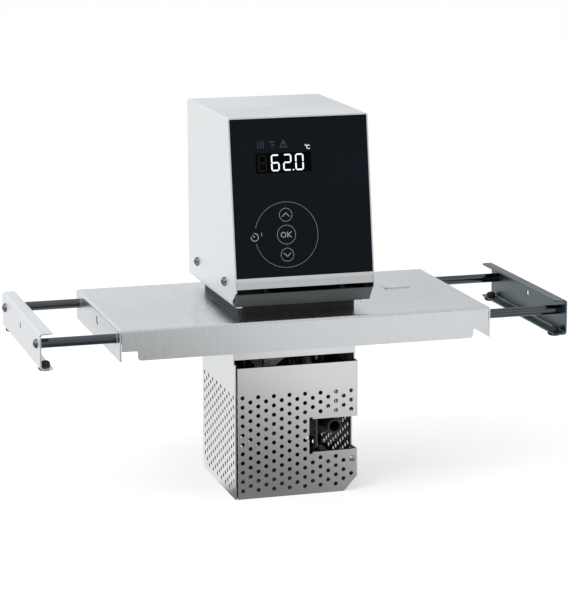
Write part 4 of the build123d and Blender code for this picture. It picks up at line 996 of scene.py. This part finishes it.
def studio_floor():
    """A plain pale floor, white to the camera with its shadow; where metal shows it, a glow with
    painted shade near the part and to its left, which paints the metal's reflections.
    """
    mat = bpy.data.materials.new("floor_white")
    mat.use_nodes = True
    tree = mat.node_tree
    tree.nodes.clear()
    path = wired(tree, "ShaderNodeLightPath")
    coords = wired(tree, "ShaderNodeTexCoord")
    place = wired(tree, "ShaderNodeSeparateXYZ", coords.outputs["Object"])
    # Painted shade for the metal's reflections: the glow is darker close in front of the part and
    # to its left.
    painted_shade_near = graded(tree, place.outputs["Y"], -0.45, -0.1, 1.0, 0.6)
    behind = graded(tree, place.outputs["Y"], -0.06, 0.02, 0.0, 1.0)
    painted_shade_left = graded(tree, place.outputs["X"], -0.02, 0.16, 0.4, 1.0)
    rise = calculated(tree, "MAXIMUM", calculated(tree, "MULTIPLY", painted_shade_near, painted_shade_left), behind)
    painted_reflection_glow = wired(tree, "ShaderNodeEmission", None, calculated(tree, "MULTIPLY", rise, 0.95))
    diffuse = wired(tree, "ShaderNodeBsdfDiffuse")
    diffuse.inputs["Color"].default_value = (0.55, 0.55, 0.56, 1)
    shown = calculated(tree, "MULTIPLY", path.outputs["Is Camera Ray"], 0.55)
    glow = wired(tree, "ShaderNodeEmission", None, shown)
    lit = wired(tree, "ShaderNodeAddShader", diffuse.outputs[0], glow.outputs[0])
    mix = wired(
        tree, "ShaderNodeMixShader", path.outputs["Is Glossy Ray"], lit.outputs[0],
        painted_reflection_glow.outputs[0],
    )
    wired(tree, "ShaderNodeOutputMaterial", mix.outputs[0])
    low, high = -FLOOR_HALF, FLOOR_HALF
    corners = [(low, low, 0), (high, low, 0), (high, high, 0), (low, high, 0)]
    mesh = bpy.data.meshes.new("floor")
    mesh.from_pydata(corners, [], [(0, 1, 2, 3)])
    mesh.materials.append(mat)
    floor = bpy.data.objects.new("floor", mesh)
    bpy.context.scene.collection.objects.link(floor)


def area_light(name, place, size, power):
    """A soft square lamp that looks at the middle of the part."""
    data = bpy.data.lights.new(name, "AREA")
    data.shape = "SQUARE"
    data.size = size
    data.energy = power
    lamp = bpy.data.objects.new(name, data)
    bpy.context.scene.collection.objects.link(lamp)
    lamp.location = place
    ahead = Vector((0, 0, 0.2)) - Vector(place)
    lamp.rotation_euler = ahead.to_track_quat("-Z", "Y").to_euler()


# Camera: place in metres, angles in degrees, focal length in pixels of the photograph
CAMERA_PLACE = (-0.5655, -1.9550, 0.5868)
CAMERA_AZIMUTH, CAMERA_DOWN, CAMERA_ROLL = -16.263, 11.883, -0.158
FOCAL_PIXELS, PHOTO_HEIGHT = 2420.3, 600
SENSOR = 36.0


def photo_camera():
    """The camera that was fitted to the photograph."""
    azimuth = math.radians(CAMERA_AZIMUTH)
    down = math.radians(CAMERA_DOWN)
    roll = math.radians(CAMERA_ROLL)
    level = math.cos(down)
    ahead = Vector((-math.sin(azimuth) * level, math.cos(azimuth) * level, -math.sin(down)))
    right = Vector((math.cos(azimuth), math.sin(azimuth), 0))
    above = right.cross(ahead)
    side = math.cos(roll) * right + math.sin(roll) * above
    top = -math.sin(roll) * right + math.cos(roll) * above
    data = bpy.data.cameras.new("camera")
    data.sensor_width = SENSOR
    data.lens = FOCAL_PIXELS / PHOTO_HEIGHT * data.sensor_width
    data.clip_end = 100.0
    camera = bpy.data.objects.new("camera", data)
    bpy.context.scene.collection.objects.link(camera)
    turn = Matrix((side, top, -ahead)).transposed().to_4x4()
    camera.matrix_world = Matrix.Translation(CAMERA_PLACE) @ turn
    bpy.context.scene.camera = camera


studio_world()
studio_floor()
area_light("key", (-1.6, -0.9, 1.9), 1.4, 26)
area_light("fill", (1.8, -1.6, 1.2), 1.6, 8)
photo_camera()
bpy.context.scene.view_settings.view_transform = "Standard"
